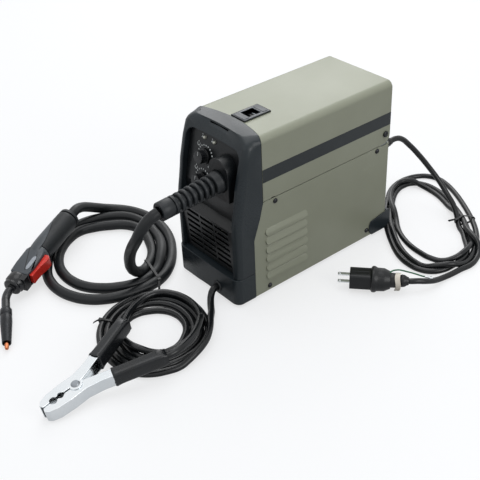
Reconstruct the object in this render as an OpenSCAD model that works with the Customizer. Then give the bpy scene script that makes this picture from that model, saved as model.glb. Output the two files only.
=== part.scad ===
// Semi-automatic wire-feed welding machine with its torch, earth clamp and mains cord.
// +Z is up, the front faces -Y, and the origin is on the floor under the middle of the case.

/* [Case] */
// Width over the painted side sheets
body_w = 136; // [124:1:160]
// Height of the hood's top above the floor
body_h = 254; // [248:1:280]
// Distance from the origin to the rear face
back_y = 150; // [148:1:180]
// Thickness of the sheet steel
sheet = 1.2; // [0.8:0.1:1.6]
// Outer radius of the hood's two long edges
edge_r = 10; // [8:1:14]
// Height of the hood above the seam
hood_h = 97; // [96:1:104]
// Gap between the hood and the parts round it
seam_gap = 1; // [0.8:0.1:1.5]
// Height of the lower edge of the side panels
panel_bottom = 5; // [5:0.5:7]
// Louvres on each side panel
louvre_count = 6; // [3:1:6]
// Spacing of the louvres
louvre_pitch = 15; // [14:0.5:16]
// Height of one louvre
louvre_h = 11; // [8:0.5:12]

/* [Moulded front] */
// Distance from the origin to the front of the bezel
nose_y = 148; // [146:1:160]
// Wall of the moulded parts
wall = 2.8; // [2.8:0.1:3.4]
// How far the bezel stands proud of the sheets
proud = 1; // [0.5:0.1:2]
// Radius of the bezel's two front top corners
front_r = 18; // [14:1:22]
// Width of the opening in the bezel
opening_w = 114; // [106:1:118]
// Distance from the hood's top down to the opening
opening_drop = 17; // [14:1:20]
// Corner radius of the opening
opening_r = 14; // [8:1:20]
// Height of the front foot
foot_h = 47; // [40:1:50]
// Number of slots down the grille
slot_rows = 7; // [4:1:8]
// Spacing of the slots
slot_pitch = 9.5; // [8:0.5:10]
// Height of one slot
slot_h = 4.4; // [3:0.1:5]

/* [Controls] */
// Lean of the control panel from upright
panel_lean = 12.3; // [8:0.1:14]
// Sideways place of both knobs
knob_x = -20; // [-26:1:-16]
// Distance from the hood's top down to the upper knob
knob_drop = 51; // [48:1:54]
// Distance between the knobs
knob_pitch = 34; // [28:1:36]
// Radius of a knob's skirt
knob_r = 11; // [9:0.5:13]
// Length of a knob
knob_h = 13; // [10:1:16]
// Radius of a potentiometer shaft
shaft_r = 3; // [2.5:0.1:3.5]

/* [Hood and latch] */
// Pivot screw, forward of the rear face
pivot_in = 10.3; // [10:0.1:12]
// Height of the pivot screws above the seam
pivot_up = 16.2; // [15.8:0.1:18]
// Radius of the pivot shoulder
pivot_r = 2.4; // [2:0.1:3]
// Latch plate width
latch_w = 28; // [24:1:34]
// Latch plate length
latch_l = 46; // [42:1:52]
// Sideways place of the latch
latch_x = 5; // [0:1:10]
// Travel of the latch slider
latch_travel = 6; // [5:0.5:7]

/* [Wire feed] */
// Sideways place of the wire line
wire_x = 28; // [26:1:30]
// Distance from the hood's top down to the wire line
wire_drop = 64; // [60:1:66]
// Radius of the spool's flanges
spool_r = 50; // [45:1:50]
// Width of the spool
spool_w = 45; // [40:1:46]
// Radius of the spool's bore
spool_bore = 8; // [7:0.5:9]
// Place of the spool's axis along the case
spool_y = 70; // [66:1:76]
// Radius of the drive roll
drive_r = 12.5; // [11:0.5:13]
// Radius of the pressure roller
idler_r = 9.5; // [8:0.5:10]
// Place of the rolls along the case
feed_y = -35; // [-38:1:-32]
// Diameter of the welding wire
wire_d = 0.8; // [0.6:0.1:1]

/* [Fan and mains] */
// Side of the square fan
fan_size = 80; // [70:1:84]
// Depth of the fan
fan_depth = 25; // [20:1:28]
// Distance from the seam down to the fan's axis
fan_drop = 77; // [74:1:82]
// Blades on the rotor
fan_blades = 7; // [5:1:9]
// Distance from the seam down to the mains cord's outlet
gland_drop = 15; // [14:1:19]
// Sideways place of the mains cord's outlet
gland_x = 50; // [48:1:50]

/* [Torch] */
// Radius of the torch grip
grip_r = 17; // [15:0.5:18]
// Length of the torch grip
grip_l = 85; // [75:1:95]
// Length of the torch body
torch_body_l = 58; // [54:1:66]
// Radius of the collar nut
nut_r = 15; // [13:0.5:16]
// Length of the collar nut
nut_l = 24; // [18:1:28]
// Radius of the swan neck
neck_r = 6; // [5:0.5:7]
// Bend of the swan neck
neck_bend = 35; // [25:1:45]
// Straight length after the bend
neck_straight = 22; // [16:1:26]
// Length of the nozzle
nozzle_l = 66; // [55:1:72]
// Largest radius of the nozzle
nozzle_r = 8.5; // [7.5:0.5:9.5]
// Ribs on the outlet boot
boot_ribs = 7; // [5:1:8]

/* [Earth clamp] */
// Length of the jaws in front of the rivet
jaw_l = 50; // [44:1:56]
// Length of the handles behind the rivet
handle_l = 112; // [100:1:120]
// Half of the angle between the handles
handle_half = 21; // [18:1:24]
// Half of the clamp's thickness
clamp_half = 11; // [9:0.5:12]
// Radius of the rivet
rivet_r = 4; // [3:0.5:5]

/* [Cords] */
// Diameter of the torch hose
hose_d = 16; // [14:0.5:18]
// Diameter of the earth lead
lead_d = 10; // [8:0.5:11]
// Diameter of the mains cord
mains_d = 8.6; // [7:0.2:9.6]

/* [Hidden] */
$fn = 48;
fit = 0.3;
run = 0.05;

// Finishes
paint = "#8A8C76";
moulding = "#2C3335";
black = "#17191A";
rubber = "#1B1D1F";
steel = "#B9BCBE";
zinc = "#9DA0A2";
brass = "#B89A55";
copper = "#D9895F";
board_green = "#2F5A3A";

// Case, worked out from the sizes above
half_w = body_w / 2;
in_x = half_w - sheet;
seam_z = body_h - hood_h;
low_top = seam_z - seam_gap;
bez_rear = -99;
bow = 360;
deck_z = seam_z - 11;
deck_top = deck_z + 1.5;
pivot_y = back_y - pivot_in;
pivot_z = seam_z + pivot_up;
hood_wall_bottom = seam_z + 6;
rear_skin = back_y - sheet - fit;
tray_z = panel_bottom;
opening_top = body_h - opening_drop;
panel_low_y = 13 - nose_y;
panel_low_z = seam_z + 3;
panel_top_z = opening_top + 1;
panel_foot_z = seam_z - 27;
foot_front = -nose_y - 3;
flare_z = seam_z - 55;
shoulder_z = seam_z - 24;
low_rear = -116.8;
screw_r = 1.6;
low_screws = [[-90.4, 13], [back_y - 42, 17]];
high_screws = [[-76.8, seam_z - 6.5], [back_y - 26.5, seam_z - 6.5]];

// Latch well through the hood's top
well_w = 19;
well_l = 21;
well_y0 = -73;
tongue_z = body_h - sheet - 5.2;

// Controls and outlets
knob_top_z = body_h - knob_drop;
knob_places = [[knob_x, knob_top_z], [knob_x, knob_top_z - knob_pitch]];
lamp_places = [[-24, body_h - 25.5], [-3, body_h - 25.5]];
bushing_r = shaft_r + 1.6;
wire_z = body_h - wire_drop;
outlet_r = 9;
boot_r = 16;
gland_z = seam_z - gland_drop;
gland_hole = 6.3;
fan_z = seam_z - fan_drop;
fan_rear = rear_skin - 1.2 - fit;
switch_x = -30;
switch_z = seam_z - 24;
rocker_at = [switch_x, back_y - 1, switch_z];
rocker_pin = 1.3;
rocker_tilt = 8;

// Wire feed
roll_z = wire_z - wire_d / 2 - drive_r;
idler_z = wire_z + wire_d / 2 + idler_r;
frame_x = wire_x - 13;
arm_x0 = frame_x + 1.5;
arm_x1 = frame_x + 8.5;
arm_pivot = [feed_y - 21, wire_z + 15];
arm_top = wire_z + 21;
tension_y = feed_y + 25;
tension_x = (arm_x0 + arm_x1) / 2;
tension_r = 1.4;
spool_z = deck_top + spool_r + 2.5;

// Torch, clamp and plug: where each frame stands
torch_rear = [-247, -232, 43.4];
torch_pitch = 8;
torch_yaw = -63;
clamp_pivot = [74, -415, 19.8];
clamp_pitch = 9.1;
clamp_yaw = -88;
plug_end = [202.3, 55.4, 19.5];
plug_yaw = 221.5;
adapter_back = 26;
adapter_face = 84;
trigger_l = 46;
trigger_x0 = grip_l + 9;
trigger_half = 8;
trigger_pivot = [trigger_x0 + trigger_l - 3, 13];
neck_x = grip_l + torch_body_l + nut_l;
bend_r = 38;
neck_lead = 1;
neck_end = [neck_x + neck_lead + bend_r * sin(neck_bend), bend_r * (1 - cos(neck_bend))];

// Cord routes, in millimetres; a hanging one keeps its low end and follows its outlet's height
function hung(route, top) =
    let (high = route[0][2], low = route[len(route) - 1][2])
        [for (p = route) [p[0], p[1], low + (p[2] - low) * (top - low) / (high - low)]];
hose_drop_route = hung([
    [28, -240, 184], [26, -252.5, 179], [22, -263, 167], [13.8, -268.8, 148],
    [-5.7, -266.9, 122], [-21.7, -262.1, 99], [-38.2, -253.6, 76], [-55.4, -242.8, 54],
    [-70.9, -230.2, 34], [-82.2, -216.6, 18.5], [-90.9, -200.9, 10]
], wire_z - 6);
hose_tail_route = [
    [-204.9, -111.7, 8], [-231, -117.5, 8], [-251, -127.9, 8.3], [-263, -139.4, 10.5],
    [-268.7, -154.6, 15.5], [-268.6, -171, 23], [-267, -186.5, 33], [-262.5, -201, 42],
    [-257, -213.3, 45.3], [-251.5, -223.2, 44.8], [-246.2, -233.6, 43.2]
];
lead_exit_route = [
    [24, -150, 18], [24, -156.5, 17.8], [25.5, -163, 15], [29.5, -171, 9.5], [38, -179.5, 5.6],
    [50, -188, 5], [63, -198, 5], [76, -212, 5]
];
lead_tail_route = [
    [13, -199.7, 21], [34.8, -200.9, 24.4], [56.9, -208.7, 28], [76, -221.5, 30.5],
    [93, -240, 33], [105, -258, 35.3], [113, -275, 37.3], [116.8, -289, 38.3],
    [117, -299.1, 38.1], [114.2, -308.4, 36.6]
];
mains_drop_route = hung([
    [50, 172, 142], [50, 184, 142], [51, 197, 137], [55, 211, 123], [63, 226, 103],
    [75, 240, 79], [91, 249, 56], [108, 252, 36], [124, 251, 21], [138, 247, 11], [151, 240, 6],
    [164, 229, 4.5]
], gland_z);
mains_tail_route = [
    [219, 172, 4.5], [220.5, 156, 4.5], [220.8, 138, 4.5], [220.6, 122, 4.6],
    [220.4, 108, 6], [219.8, 96, 9], [218, 84.5, 13], [214.6, 74, 16.6], [210.4, 66, 18.8],
    [206.8, 60.6, 19.4], [202.3, 55.4, 19.5]
];

// Coils
hose_coil_at = [-163, -216];
hose_coil_a = 121;
hose_coil_b = 101;
hose_coil_band = 40;
hose_coil_turn = 144;
lead_coil_at = [33.5, -268.5];
lead_coil_out = 85;
lead_coil_in = 42;
lead_coil_h = 16;
mains_coil_at = [111, 213];
mains_coil_a = 143;
mains_coil_b = 67;
mains_coil_band = 26;
mains_coil_turn = 139;

// Helpers

function arc(c, r, from, to, n) =
    [for (i = [0:n]) let (a = from + (to - from) * i / n) [c[0] + r * cos(a), c[1] + r * sin(a)]];

// A 2D shape in X and Z, drawn out along Y
module along_y(y0, y1) {
    translate([0, y1, 0]) rotate([90, 0, 0]) linear_extrude(y1 - y0) children();
}

// A 2D shape in Y and Z, drawn out along X
module along_x(x0, x1) {
    translate([x0, 0, 0]) rotate([90, 0, 90]) linear_extrude(x1 - x0) children();
}

// A round bar along X or Y
module bar_x(x0, x1, r) {
    translate([x0, 0, 0]) rotate([0, 90, 0]) cylinder(h = x1 - x0, r = r);
}
module bar_y(y0, y1, r) {
    translate([0, y1, 0]) rotate([90, 0, 0]) cylinder(h = y1 - y0, r = r);
}

// A rectangle with round corners, from corner to corner
module round_rect(x0, y0, x1, y1, r) {
    polygon(concat(
        arc([x1 - r, y1 - r], r, 0, 90, 6), arc([x0 + r, y1 - r], r, 90, 180, 6),
        arc([x0 + r, y0 + r], r, 180, 270, 6), arc([x1 - r, y0 + r], r, 270, 360, 6)
    ));
}

// The case's front outline, set in by the given amount
module case_outline(inset, z0) {
    w = half_w - inset;
    r = edge_r - inset;
    top = body_h - inset;
    polygon(concat(
        [[-w, z0], [w, z0]],
        arc([w - r, top - r], r, 0, 90, 10),
        arc([r - w, top - r], r, 90, 180, 10)
    ));
}

// A tube of the given sides, swept along a route; side_ref is a direction that the route never takes
function unit(v) = v / norm(v);
function tangent(p, i) =
    unit(p[min(i + 1, len(p) - 1)] - p[max(i - 1, 0)]);
module tube(route, d, sides, side_ref) {
    rings = [
        for (i = [0:len(route) - 1])
            let (t = tangent(route, i), u = unit(cross(t, side_ref)), v = cross(t, u))
                for (k = [0:sides - 1]) let (a = 360 * k / sides)
                    route[i] + d / 2 * (cos(a) * u + sin(a) * v)
    ];
    last = len(route) - 1;
    faces = concat(
        [[for (k = [0:sides - 1]) k]],
        [
            for (i = [0:last - 1], k = [0:sides - 1])
                let (a = i * sides + k, b = i * sides + (k + 1) % sides)
                    [a, a + sides, b + sides, b]
        ],
        [[for (k = [sides - 1:-1:0]) last * sides + k]]
    );
    polyhedron(rings, faces, convexity = 6);
}

// Case

module base_tray() color(zinc) {
    front = -108;
    difference() {
        union() {
            translate([-in_x + fit, front, tray_z])
                cube([2 * (in_x - fit), rear_skin - fit - 1.2 - front, 1.2]);
            for (s = [-1, 1])
                along_x(s > 0 ? in_x - fit - 1.2 : -in_x + fit, s > 0 ? in_x - fit : -in_x + fit + 1.2)
                    polygon([
                        [front, tray_z], [rear_skin - fit - 1.2, tray_z],
                        [rear_skin - fit - 1.2, 26], [front, 26]
                    ]);
        }
        for (p = low_screws) translate([0, p[0], p[1]]) bar_x(-half_w, half_w, screw_r + fit);
        for (x = [-30:20:30], y = [-60:40:60])
            translate([x - 1.5, y, tray_z - 1]) cube([3, 26, 4]);
    }
}

// Pressed louvre: the sheet is drawn out towards a lip along its lower edge
module louvre(y0, y1, z) {
    out = 3.2;
    translate([0, 0, z]) difference() {
        intersection() {
            along_x(half_w - sheet, half_w + out) translate([y0, -louvre_h / 2])
                round_rect(0, 0, y1 - y0, louvre_h, louvre_h / 2 - 0.01);
            along_y(y0, y1) polygon([
                [half_w - sheet, louvre_h / 2], [half_w, louvre_h / 2],
                [half_w + out * 0.6, 0], [half_w + out, -louvre_h / 2 + 1],
                [half_w + out, -louvre_h / 2], [half_w - sheet, -louvre_h / 2]
            ]);
        }
        along_y(y0 + 4, y1 - 4) polygon([
            [half_w - sheet - 1, louvre_h / 2 - 2.5], [half_w - sheet + 0.2, louvre_h / 2 - 2.5],
            [half_w + out * 0.6 - 1.2, 0], [half_w + out - 1.2, -louvre_h / 2 - 1],
            [half_w - sheet - 1, -louvre_h / 2 - 1]
        ]);
    }
}

module side_panel() {
    turn_r = 3;
    flange = 8;
    louvre_top = seam_z - 51;
    louvres = min(louvre_count, floor((louvre_top - panel_bottom - 14) / louvre_pitch) + 1);
    front_edge = [
        [bez_rear + seam_gap, low_top], [-105 + seam_gap / 2, shoulder_z],
        [low_rear + 0.2 + seam_gap / 2, flare_z], [low_rear + 0.2 + seam_gap / 2, panel_bottom]
    ];
    difference() {
        union() {
            intersection() {
                translate([0, 0, panel_bottom]) linear_extrude(low_top - panel_bottom)
                    polygon(concat(
                        [[in_x, -130], [half_w, -130]],
                        arc([half_w - turn_r, back_y - turn_r], turn_r, 0, 90, 6),
                        [[half_w - flange, back_y], [half_w - flange, back_y - sheet]],
                        arc([half_w - turn_r, back_y - turn_r], turn_r - sheet, 90, 0, 6)
                    ));
                along_x(0, half_w + 1) polygon(concat(
                    front_edge, [[back_y + 1, panel_bottom], [back_y + 1, low_top]]
                ));
            }
            for (i = [0:louvres - 1]) louvre(-96, -18, louvre_top - i * louvre_pitch);
        }
        for (i = [0:louvres - 1])
            along_x(in_x - 1, half_w + 0.2) translate([-92, louvre_top - i * louvre_pitch])
                square([70, louvre_h / 2 - 2.5]);
        for (p = concat(low_screws, high_screws))
            translate([0, p[0], p[1]]) bar_x(0, half_w + 5, screw_r + fit);
        // lifting notch in the upper edge
        along_x(in_x - 1, half_w + 1) translate([back_y - 19, low_top - 1.6]) square([13, 5]);
    }
}

module right_side_panel() color(paint) side_panel();
module left_side_panel() color(paint) mirror([1, 0, 0]) side_panel();

// Plan curve shared by the bezel's rear edge and the hood's front edge
function bow_curve(y, w, n) =
    [for (i = [0:n]) let (x = -w + 2 * w * i / n) [x, y + (half_w * half_w - x * x) / bow]];

module hood() color(paint) {
    corner = 13;
    difference() {
        along_y(-120, back_y) case_outline(0, seam_z);
        along_y(-121, back_y - sheet) case_outline(sheet, seam_z - 1);
        // the rear wall stops above the seam
        translate([-in_x, back_y - sheet - 1, seam_z - 1])
            cube([2 * in_x, sheet + 2, hood_wall_bottom - seam_z + 1]);
        // relief beside the pivot ears
        for (s = [-1, 1])
            translate([s > 0 ? in_x - 3.6 : -in_x, back_y - sheet - 1, seam_z - 1])
                cube([3.6, sheet + 2, pivot_up + 14]);
        // front edge follows the bezel
        translate([0, 0, seam_z - 2]) linear_extrude(body_h) polygon(concat(
            bow_curve(bez_rear + seam_gap, half_w + 2, 12), [[half_w + 2, -140], [-half_w - 2, -140]]
        ));
        // round lower rear corners
        along_x(-half_w - 1, half_w + 1) polygon(concat(
            arc([back_y - corner, seam_z + corner], corner, 270, 360, 8),
            [[back_y + 1, seam_z + corner], [back_y + 1, seam_z - 1], [back_y - corner, seam_z - 1]]
        ));
        translate([0, pivot_y, pivot_z]) bar_x(-half_w - 1, half_w + 1, pivot_r + run);
        // opening for the latch well
        translate([latch_x - well_w / 2 - 1.4, well_y0 - 1.4, body_h - 5])
            cube([well_w + 2.8, well_l + 2.8, 10]);
        // lifting notches at the front of the lower edge
        along_x(-half_w - 1, half_w + 1) translate([-84, seam_z - 1]) square([7, 2]);
    }
}

module rear_panel() color(paint) {
    y0 = rear_skin - 1.2;
    half = in_x - 2.2;
    top = seam_z;
    difference() {
        along_y(y0, rear_skin) polygon([
            [-half, 8], [half, 8], [half, top], [-half, top]
        ]);
        // guard slots behind the fan
        for (i = [-3:3]) let (z = i * 9, slot = sqrt(pow(fan_size / 2 - 5, 2) - z * z))
            along_y(y0 - 1, rear_skin + 1) translate([0, fan_z + z])
                round_rect(-slot, -2.6, slot, 2.6, 2.5);
        translate([gland_x, 0, gland_z]) bar_y(y0 - 1, rear_skin + 1, gland_hole);
        along_y(y0 - 1, rear_skin + 1)
            round_rect(switch_x - 14, switch_z - 10, switch_x + 14, switch_z + 10, 2);
    }
}

module mid_deck() color(zinc) {
    ear_x = in_x - fit - 1.5;
    ear_r = 7.2;
    front = -92;
    rear = rear_skin - 1.2 - fit;
    difference() {
        union() {
            translate([-in_x + fit, front, deck_z]) cube([2 * (in_x - fit), rear - front, 1.5]);
            for (s = [-1, 1]) {
                along_x(s > 0 ? ear_x : -ear_x - 1.5, s > 0 ? ear_x + 1.5 : -ear_x) {
                    translate([front, deck_z]) square([rear - front, low_top - deck_z]);
                    translate([pivot_y - ear_r, deck_z]) square([2 * ear_r, pivot_z - deck_z]);
                    translate([pivot_y, pivot_z]) circle(ear_r);
                }
            }
        }
        translate([0, pivot_y, pivot_z]) bar_x(-half_w, half_w, pivot_r + run);
        for (p = high_screws) translate([0, p[0], p[1]]) bar_x(-half_w, half_w, screw_r + fit);
        // pass for the cables between the two decks
        translate([-50, 20, deck_z - 1]) cube([28, 50, 4]);
        // relief over the mains gland's nut
        translate([gland_x - 11, rear - 8, deck_z - 1]) cube([22, 9, 4]);
    }
}

// Round-head screw, pointing along +X from its seat at the origin
module screw(length) {
    rotate([0, 90, 0]) {
        cylinder(h = 1.1, r1 = 4, r2 = 3.7);
        translate([0, 0, 1.1]) cylinder(h = 1.2, r1 = 3.7, r2 = 2);
        translate([0, 0, -length]) cylinder(h = length, r = screw_r);
    }
}

module case_screws() color(black) {
    seat = half_w + 0.05;
    for (s = [0, 1]) mirror([s, 0, 0]) {
        for (p = concat(low_screws, high_screws)) translate([seat, p[0], p[1]]) screw(5);
        translate([seat + 0.3, pivot_y, pivot_z]) {
            bar_x(0, 1.4, 5);
            translate([1.4, 0, 0]) rotate([0, 90, 0]) cylinder(h = 1.2, r1 = 5, r2 = 3.4);
            bar_x(-4.5, 0, pivot_r);
        }
    }
}

// Moulded front

// Front of the bezel at the sides, by height
function front_at(z) = -nose_y + lookup(z, [
    [0, 0], [foot_h, 0], [seam_z - 70, 0.7], [seam_z - 21, 1], [seam_z + 10, 7],
    [seam_z + 32, 10], [body_h - 32, 18],
    [body_h - 16, 22.5], [body_h - 8, 26], [body_h - 3, 29.2], [body_h + 2, 35]
]);
// Rear of the bezel at the sides, by height
function rear_at(z) = lookup(z, [
    [0, low_rear], [flare_z, low_rear], [shoulder_z, -105.4], [low_top, bez_rear],
    [body_h, bez_rear]
]);
// How much of the plan bow the front shows, by height
function bow_at(z) = lookup(z, [[0, 0], [body_h - 30, 0], [body_h - 4, 0.55], [body_h, 0.55]]);
// Half width of the bezel, by height, with the given radius at its top corners
function bezel_half(z, inset, corner) =
    let (r = corner + proud - inset, c = body_h + proud - inset - r, w = half_w + proud - inset)
        z <= c ? w : w - r + sqrt(max(0, r * r - (z - c) * (z - c)));

// One level of the bezel's outer form in plan
function bezel_ring(z, inset, back) =
    let (
        w = bezel_half(z, inset, front_r), w_rear = bezel_half(z, inset, edge_r),
        f = front_at(z) + inset, b = rear_at(z) + back, arch = z > low_top ? 1 : 0, r = 9
    ) concat(
        [for (i = [0:8]) let (x = -w_rear + 2 * w_rear * i / 8)
            [x, b + arch * (half_w * half_w - x * x) / bow, z]],
        [for (i = [0:4]) let (a = -90 * i / 4) [w - r + r * cos(a), f + r + r * sin(a), z]],
        [for (i = [1:5]) let (x = (w - r) * (1 - i / 3))
            [x, f + bow_at(z) * ((w - r) * (w - r) - x * x) / bow, z]],
        [for (i = [0:4]) let (a = 270 - 90 * i / 4) [-w + r + r * cos(a), f + r + r * sin(a), z]]
    );

module bezel_form(z0, inset, back) {
    top = body_h + proud - inset;
    levels = concat(
        [z0, seam_z - 80, seam_z - 70, flare_z, seam_z - 39, shoulder_z, seam_z - 12, low_top],
        [low_top + 0.5, seam_z + 19, seam_z + 32, seam_z + 49, body_h - 32],
        [for (i = [1:6]) top - front_r * (1 - sin(15 * i))]
    );
    rings = [for (z = levels) bezel_ring(z, inset, back)];
    n = len(rings[0]);
    last = len(levels) - 1;
    points = [for (r = rings, p = r) p];
    faces = concat(
        [[for (k = [n - 1:-1:0]) k]],
        [
            for (i = [0:last - 1], k = [0:n - 1])
                let (a = i * n + k, b = i * n + (k + 1) % n)
                    each [[a, b, b + n], [a, b + n, a + n]]
        ],
        [[for (k = [0:n - 1]) last * n + k]]
    );
    polyhedron(points, faces, convexity = 8);
}

module front_opening(grow) {
    along_y(-nose_y - 20, -60)
        round_rect(-opening_w / 2 - grow, 0, opening_w / 2 + grow, opening_top + grow, opening_r + grow);
}

module front_bezel() color(moulding) {
    z0 = foot_h + fit;
    lip_in = max(sheet + 0.4, wall - proud - 0.2);
    difference() {
        bezel_form(z0, 0, 0);
        difference() {
            bezel_form(z0 - 5, wall, 20);
            front_opening(wall);
        }
        front_opening(0);
        // finger slot in the crown
        translate([0, -nose_y + 25, body_h - 7]) rotate([-55, 0, 0])
            translate([0, 0, -12]) linear_extrude(24) round_rect(-20, -2.6, 20, 2.6, 2.5);
    }
    // lip that closes the seam behind the hood and panels
    intersection() {
        difference() {
            along_y(-nose_y, -70) case_outline(lip_in, z0);
            along_y(-nose_y - 1, -69) case_outline(lip_in + 2, z0 - 1);
        }
        along_x(-half_w, half_w) polygon([
            [-116, z0], [-111, z0], [-111, flare_z], [bez_rear - 1.5, shoulder_z],
            [bez_rear + 5, low_top], [bez_rear + 30, body_h], [bez_rear - 5.5, body_h],
            [bez_rear - 5.5, low_top], [-116, seam_z - 37]
        ]);
        translate([0, 0, z0 - 1]) linear_extrude(body_h) polygon(concat(
            bow_curve(bez_rear + 4.5, half_w, 12), [[half_w, -nose_y], [-half_w, -nose_y]]
        ));
    }
}

function panel_y(z) = panel_low_y + (z - panel_low_z) * tan(panel_lean);

// Stand on the control panel at a place, with +Z out of the panel
module on_panel(x, z) {
    translate([x, panel_y(z), z]) rotate([90 - panel_lean, 0, 0]) children();
}

module panel_profile(thick) {
    top_y = panel_y(panel_top_z);
    polygon([
        [top_y, panel_top_z], [panel_low_y, panel_low_z], [panel_low_y + 1.5, panel_foot_z],
        [panel_low_y + 1.5 + thick, panel_foot_z], [panel_low_y + thick, panel_low_z],
        [top_y + thick, panel_top_z]
    ]);
}

module control_panel() color(black) {
    difference() {
        intersection() {
            along_x(-opening_w / 2 + 0.4, opening_w / 2 - 0.4) panel_profile(2.5);
            front_opening(-0.4);
        }
        for (p = knob_places)
            on_panel(p[0], p[1]) translate([0, 0, -5]) cylinder(h = 10, r = bushing_r + fit);
        for (p = lamp_places)
            on_panel(p[0], p[1]) translate([0, 0, -5]) cylinder(h = 10, r = 2.5 + fit);
        translate([wire_x, 0, wire_z]) bar_y(-nose_y, -100, outlet_r + 1);
    }
}

module front_grille() color(black) {
    top_y = panel_low_y + 1.5;
    face_y = 2 - nose_y;
    z_ledge = panel_foot_z - 7;
    low_z = foot_h + 2;
    rows = min(slot_rows, floor((z_ledge - low_z - 12) / slot_pitch) + 1);
    difference() {
        along_x(-opening_w / 2 + 0.4, opening_w / 2 - 0.4) polygon([
            [top_y, panel_foot_z - fit], [face_y + 1.5, z_ledge + 1], [face_y, z_ledge - 1],
            [face_y + 5, low_z], [face_y + 7.5, low_z], [face_y + 2.5, z_ledge - 2.5],
            [top_y + 2.5, panel_foot_z - 2.8], [top_y + 2.5, panel_foot_z - fit]
        ]);
        for (i = [0:rows - 1], c = [0:2])
            translate([-47 + c * 32, face_y - 5, z_ledge - 10 - i * slot_pitch])
                cube([c == 2 ? 30 : 29, 20, slot_h]);
    }
    // bars behind the slots
    for (c = [0, 1]) translate([-16.6 + c * 32, face_y + 6.5, low_z + 2])
        cube([1.2, 6, z_ledge - low_z - 8]);
}

module front_foot() color(moulding) {
    w = half_w + proud;
    r = 12;
    z0 = 2.4;
    arch_h = 4;
    arch_half = half_w - 30;
    floor_z = z0 + arch_h + wall;
    difference() {
        union() {
            translate([0, 0, z0 + 3]) linear_extrude(foot_h - z0 - 3) polygon(concat(
                [[-w, low_rear], [w, low_rear]],
                arc([w - r, foot_front + r], r, 0, -90, 8),
                arc([r - w, foot_front + r], r, 270, 180, 8)
            ));
            // chamfered sole
            translate([0, 0, z0]) hull() {
                linear_extrude(0.1) polygon(concat(
                    [[-w + 3, low_rear], [w - 3, low_rear]],
                    arc([w - r, foot_front + r], r - 3, 0, -90, 6),
                    arc([r - w, foot_front + r], r - 3, 270, 180, 6)
                ));
                translate([0, 0, 3]) linear_extrude(0.1) polygon(concat(
                    [[-w, low_rear], [w, low_rear]],
                    arc([w - r, foot_front + r], r, 0, -90, 6),
                    arc([r - w, foot_front + r], r, 270, 180, 6)
                ));
            }
        }
        translate([0, 0, floor_z]) linear_extrude(foot_h - floor_z - wall) polygon(concat(
            [[-w + wall, low_rear - 1], [-w + wall, low_rear + 10]],
            [[w - wall, low_rear + 10], [w - wall, low_rear - 1]],
            arc([w - r, foot_front + r], r - wall, 0, -90, 8),
            arc([r - w, foot_front + r], r - wall, 270, 180, 8)
        ));
        // shallow arch in the sole
        along_y(foot_front - 1, low_rear + 1) polygon(concat(
            [[arch_half, z0 - 1], [-arch_half, z0 - 1]],
            [for (i = [0:12]) let (u = i / 6 - 1) [arch_half * u, z0 + arch_h * (1 - u * u)]]
        ));
        translate([lead_exit_route[0][0], 0, lead_exit_route[0][2]])
            bar_y(foot_front - 1, foot_front + 8, lead_d / 2 + 2.3);
    }
    // tongue under the tray
    translate([-in_x + 4, low_rear - 3, z0]) cube([2 * in_x - 8, 28, panel_bottom - fit - z0]);
}

module rear_foot() color(moulding) {
    w = half_w + 2.2;
    front = back_y - 37;
    rear = back_y + 8;
    z0 = 2.4;
    inner = half_w + fit;
    difference() {
        intersection() {
            along_x(-w, w) polygon([
                [front, z0 + 10], [front + 8, z0], [rear - 10, z0], [rear, z0 + 9], [rear, 34],
                [rear - 3, 37], [front + 3, 30], [front, 24]
            ]);
            along_y(front - 1, rear + 1) polygon([
                [-w + 3, z0], [w - 3, z0], [w, z0 + 3], [w, 40], [-w, 40], [-w, z0 + 3]
            ]);
        }
        translate([-inner, front - 5, panel_bottom - fit]) cube([2 * inner, back_y + fit - front + 5, 50]);
    }
}

module rubber_feet() color(rubber) {
    for (s = [-1, 1], y = [foot_front + 18, back_y - 18])
        translate([s * (half_w - 20), y, 0]) {
            cylinder(h = 1.2, r1 = 8, r2 = 9);
            translate([0, 0, 1.2]) cylinder(h = 0.9, r = 9);
        }
}

// Latch

module latch_plate() color("#80828A") {
    difference() {
        union() {
            translate([latch_x - latch_w / 2, -85, body_h + 0.1])
                linear_extrude(1.2) round_rect(0, 0, latch_w, latch_l, 2);
            translate([latch_x - latch_w / 2 + 0.8, -84.2, body_h + 1.3])
                linear_extrude(1.1) round_rect(0, 0, latch_w - 1.6, latch_l - 1.6, 1.5);
            // well through the hood
            translate([latch_x - well_w / 2 - 1, well_y0 - 1, tongue_z + 2.3])
                cube([well_w + 2, well_l + 2, body_h - tongue_z - 1.5]);
            // guides below the sheet
            for (s = [-1, 1])
                translate([latch_x + s * (well_w / 2 + 0.5) - 1, well_y0, tongue_z - 2])
                    cube([2, well_l, 5]);
        }
        translate([latch_x - well_w / 2, well_y0, tongue_z - 3])
            cube([well_w, well_l, 20]);
    }
    for (s = [-1, 1])
        translate([latch_x + s * (well_w / 2 - 0.6) - 1.1, well_y0, tongue_z - 2])
            cube([2.2, well_l, 1.6]);
}

module latch_slider() color(black) {
    block_l = 12;
    tip = well_y0 - latch_travel - 1.4;
    tail = well_y0 + well_l - 1;
    difference() {
        union() {
            translate([latch_x - well_w / 2 + 0.4, tip, tongue_z])
                cube([well_w - 0.8, tail - tip, 2]);
            translate([latch_x - well_w / 2 + 0.4, tail - block_l, tongue_z + 2])
                cube([well_w - 0.8, block_l, body_h - tongue_z - 2.4]);
        }
        for (i = [0:2]) translate([latch_x - 6, tail - block_l + 2 + i * 3.2, body_h - 1.4])
            cube([12, 1.4, 3]);
    }
}

// Controls

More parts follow.
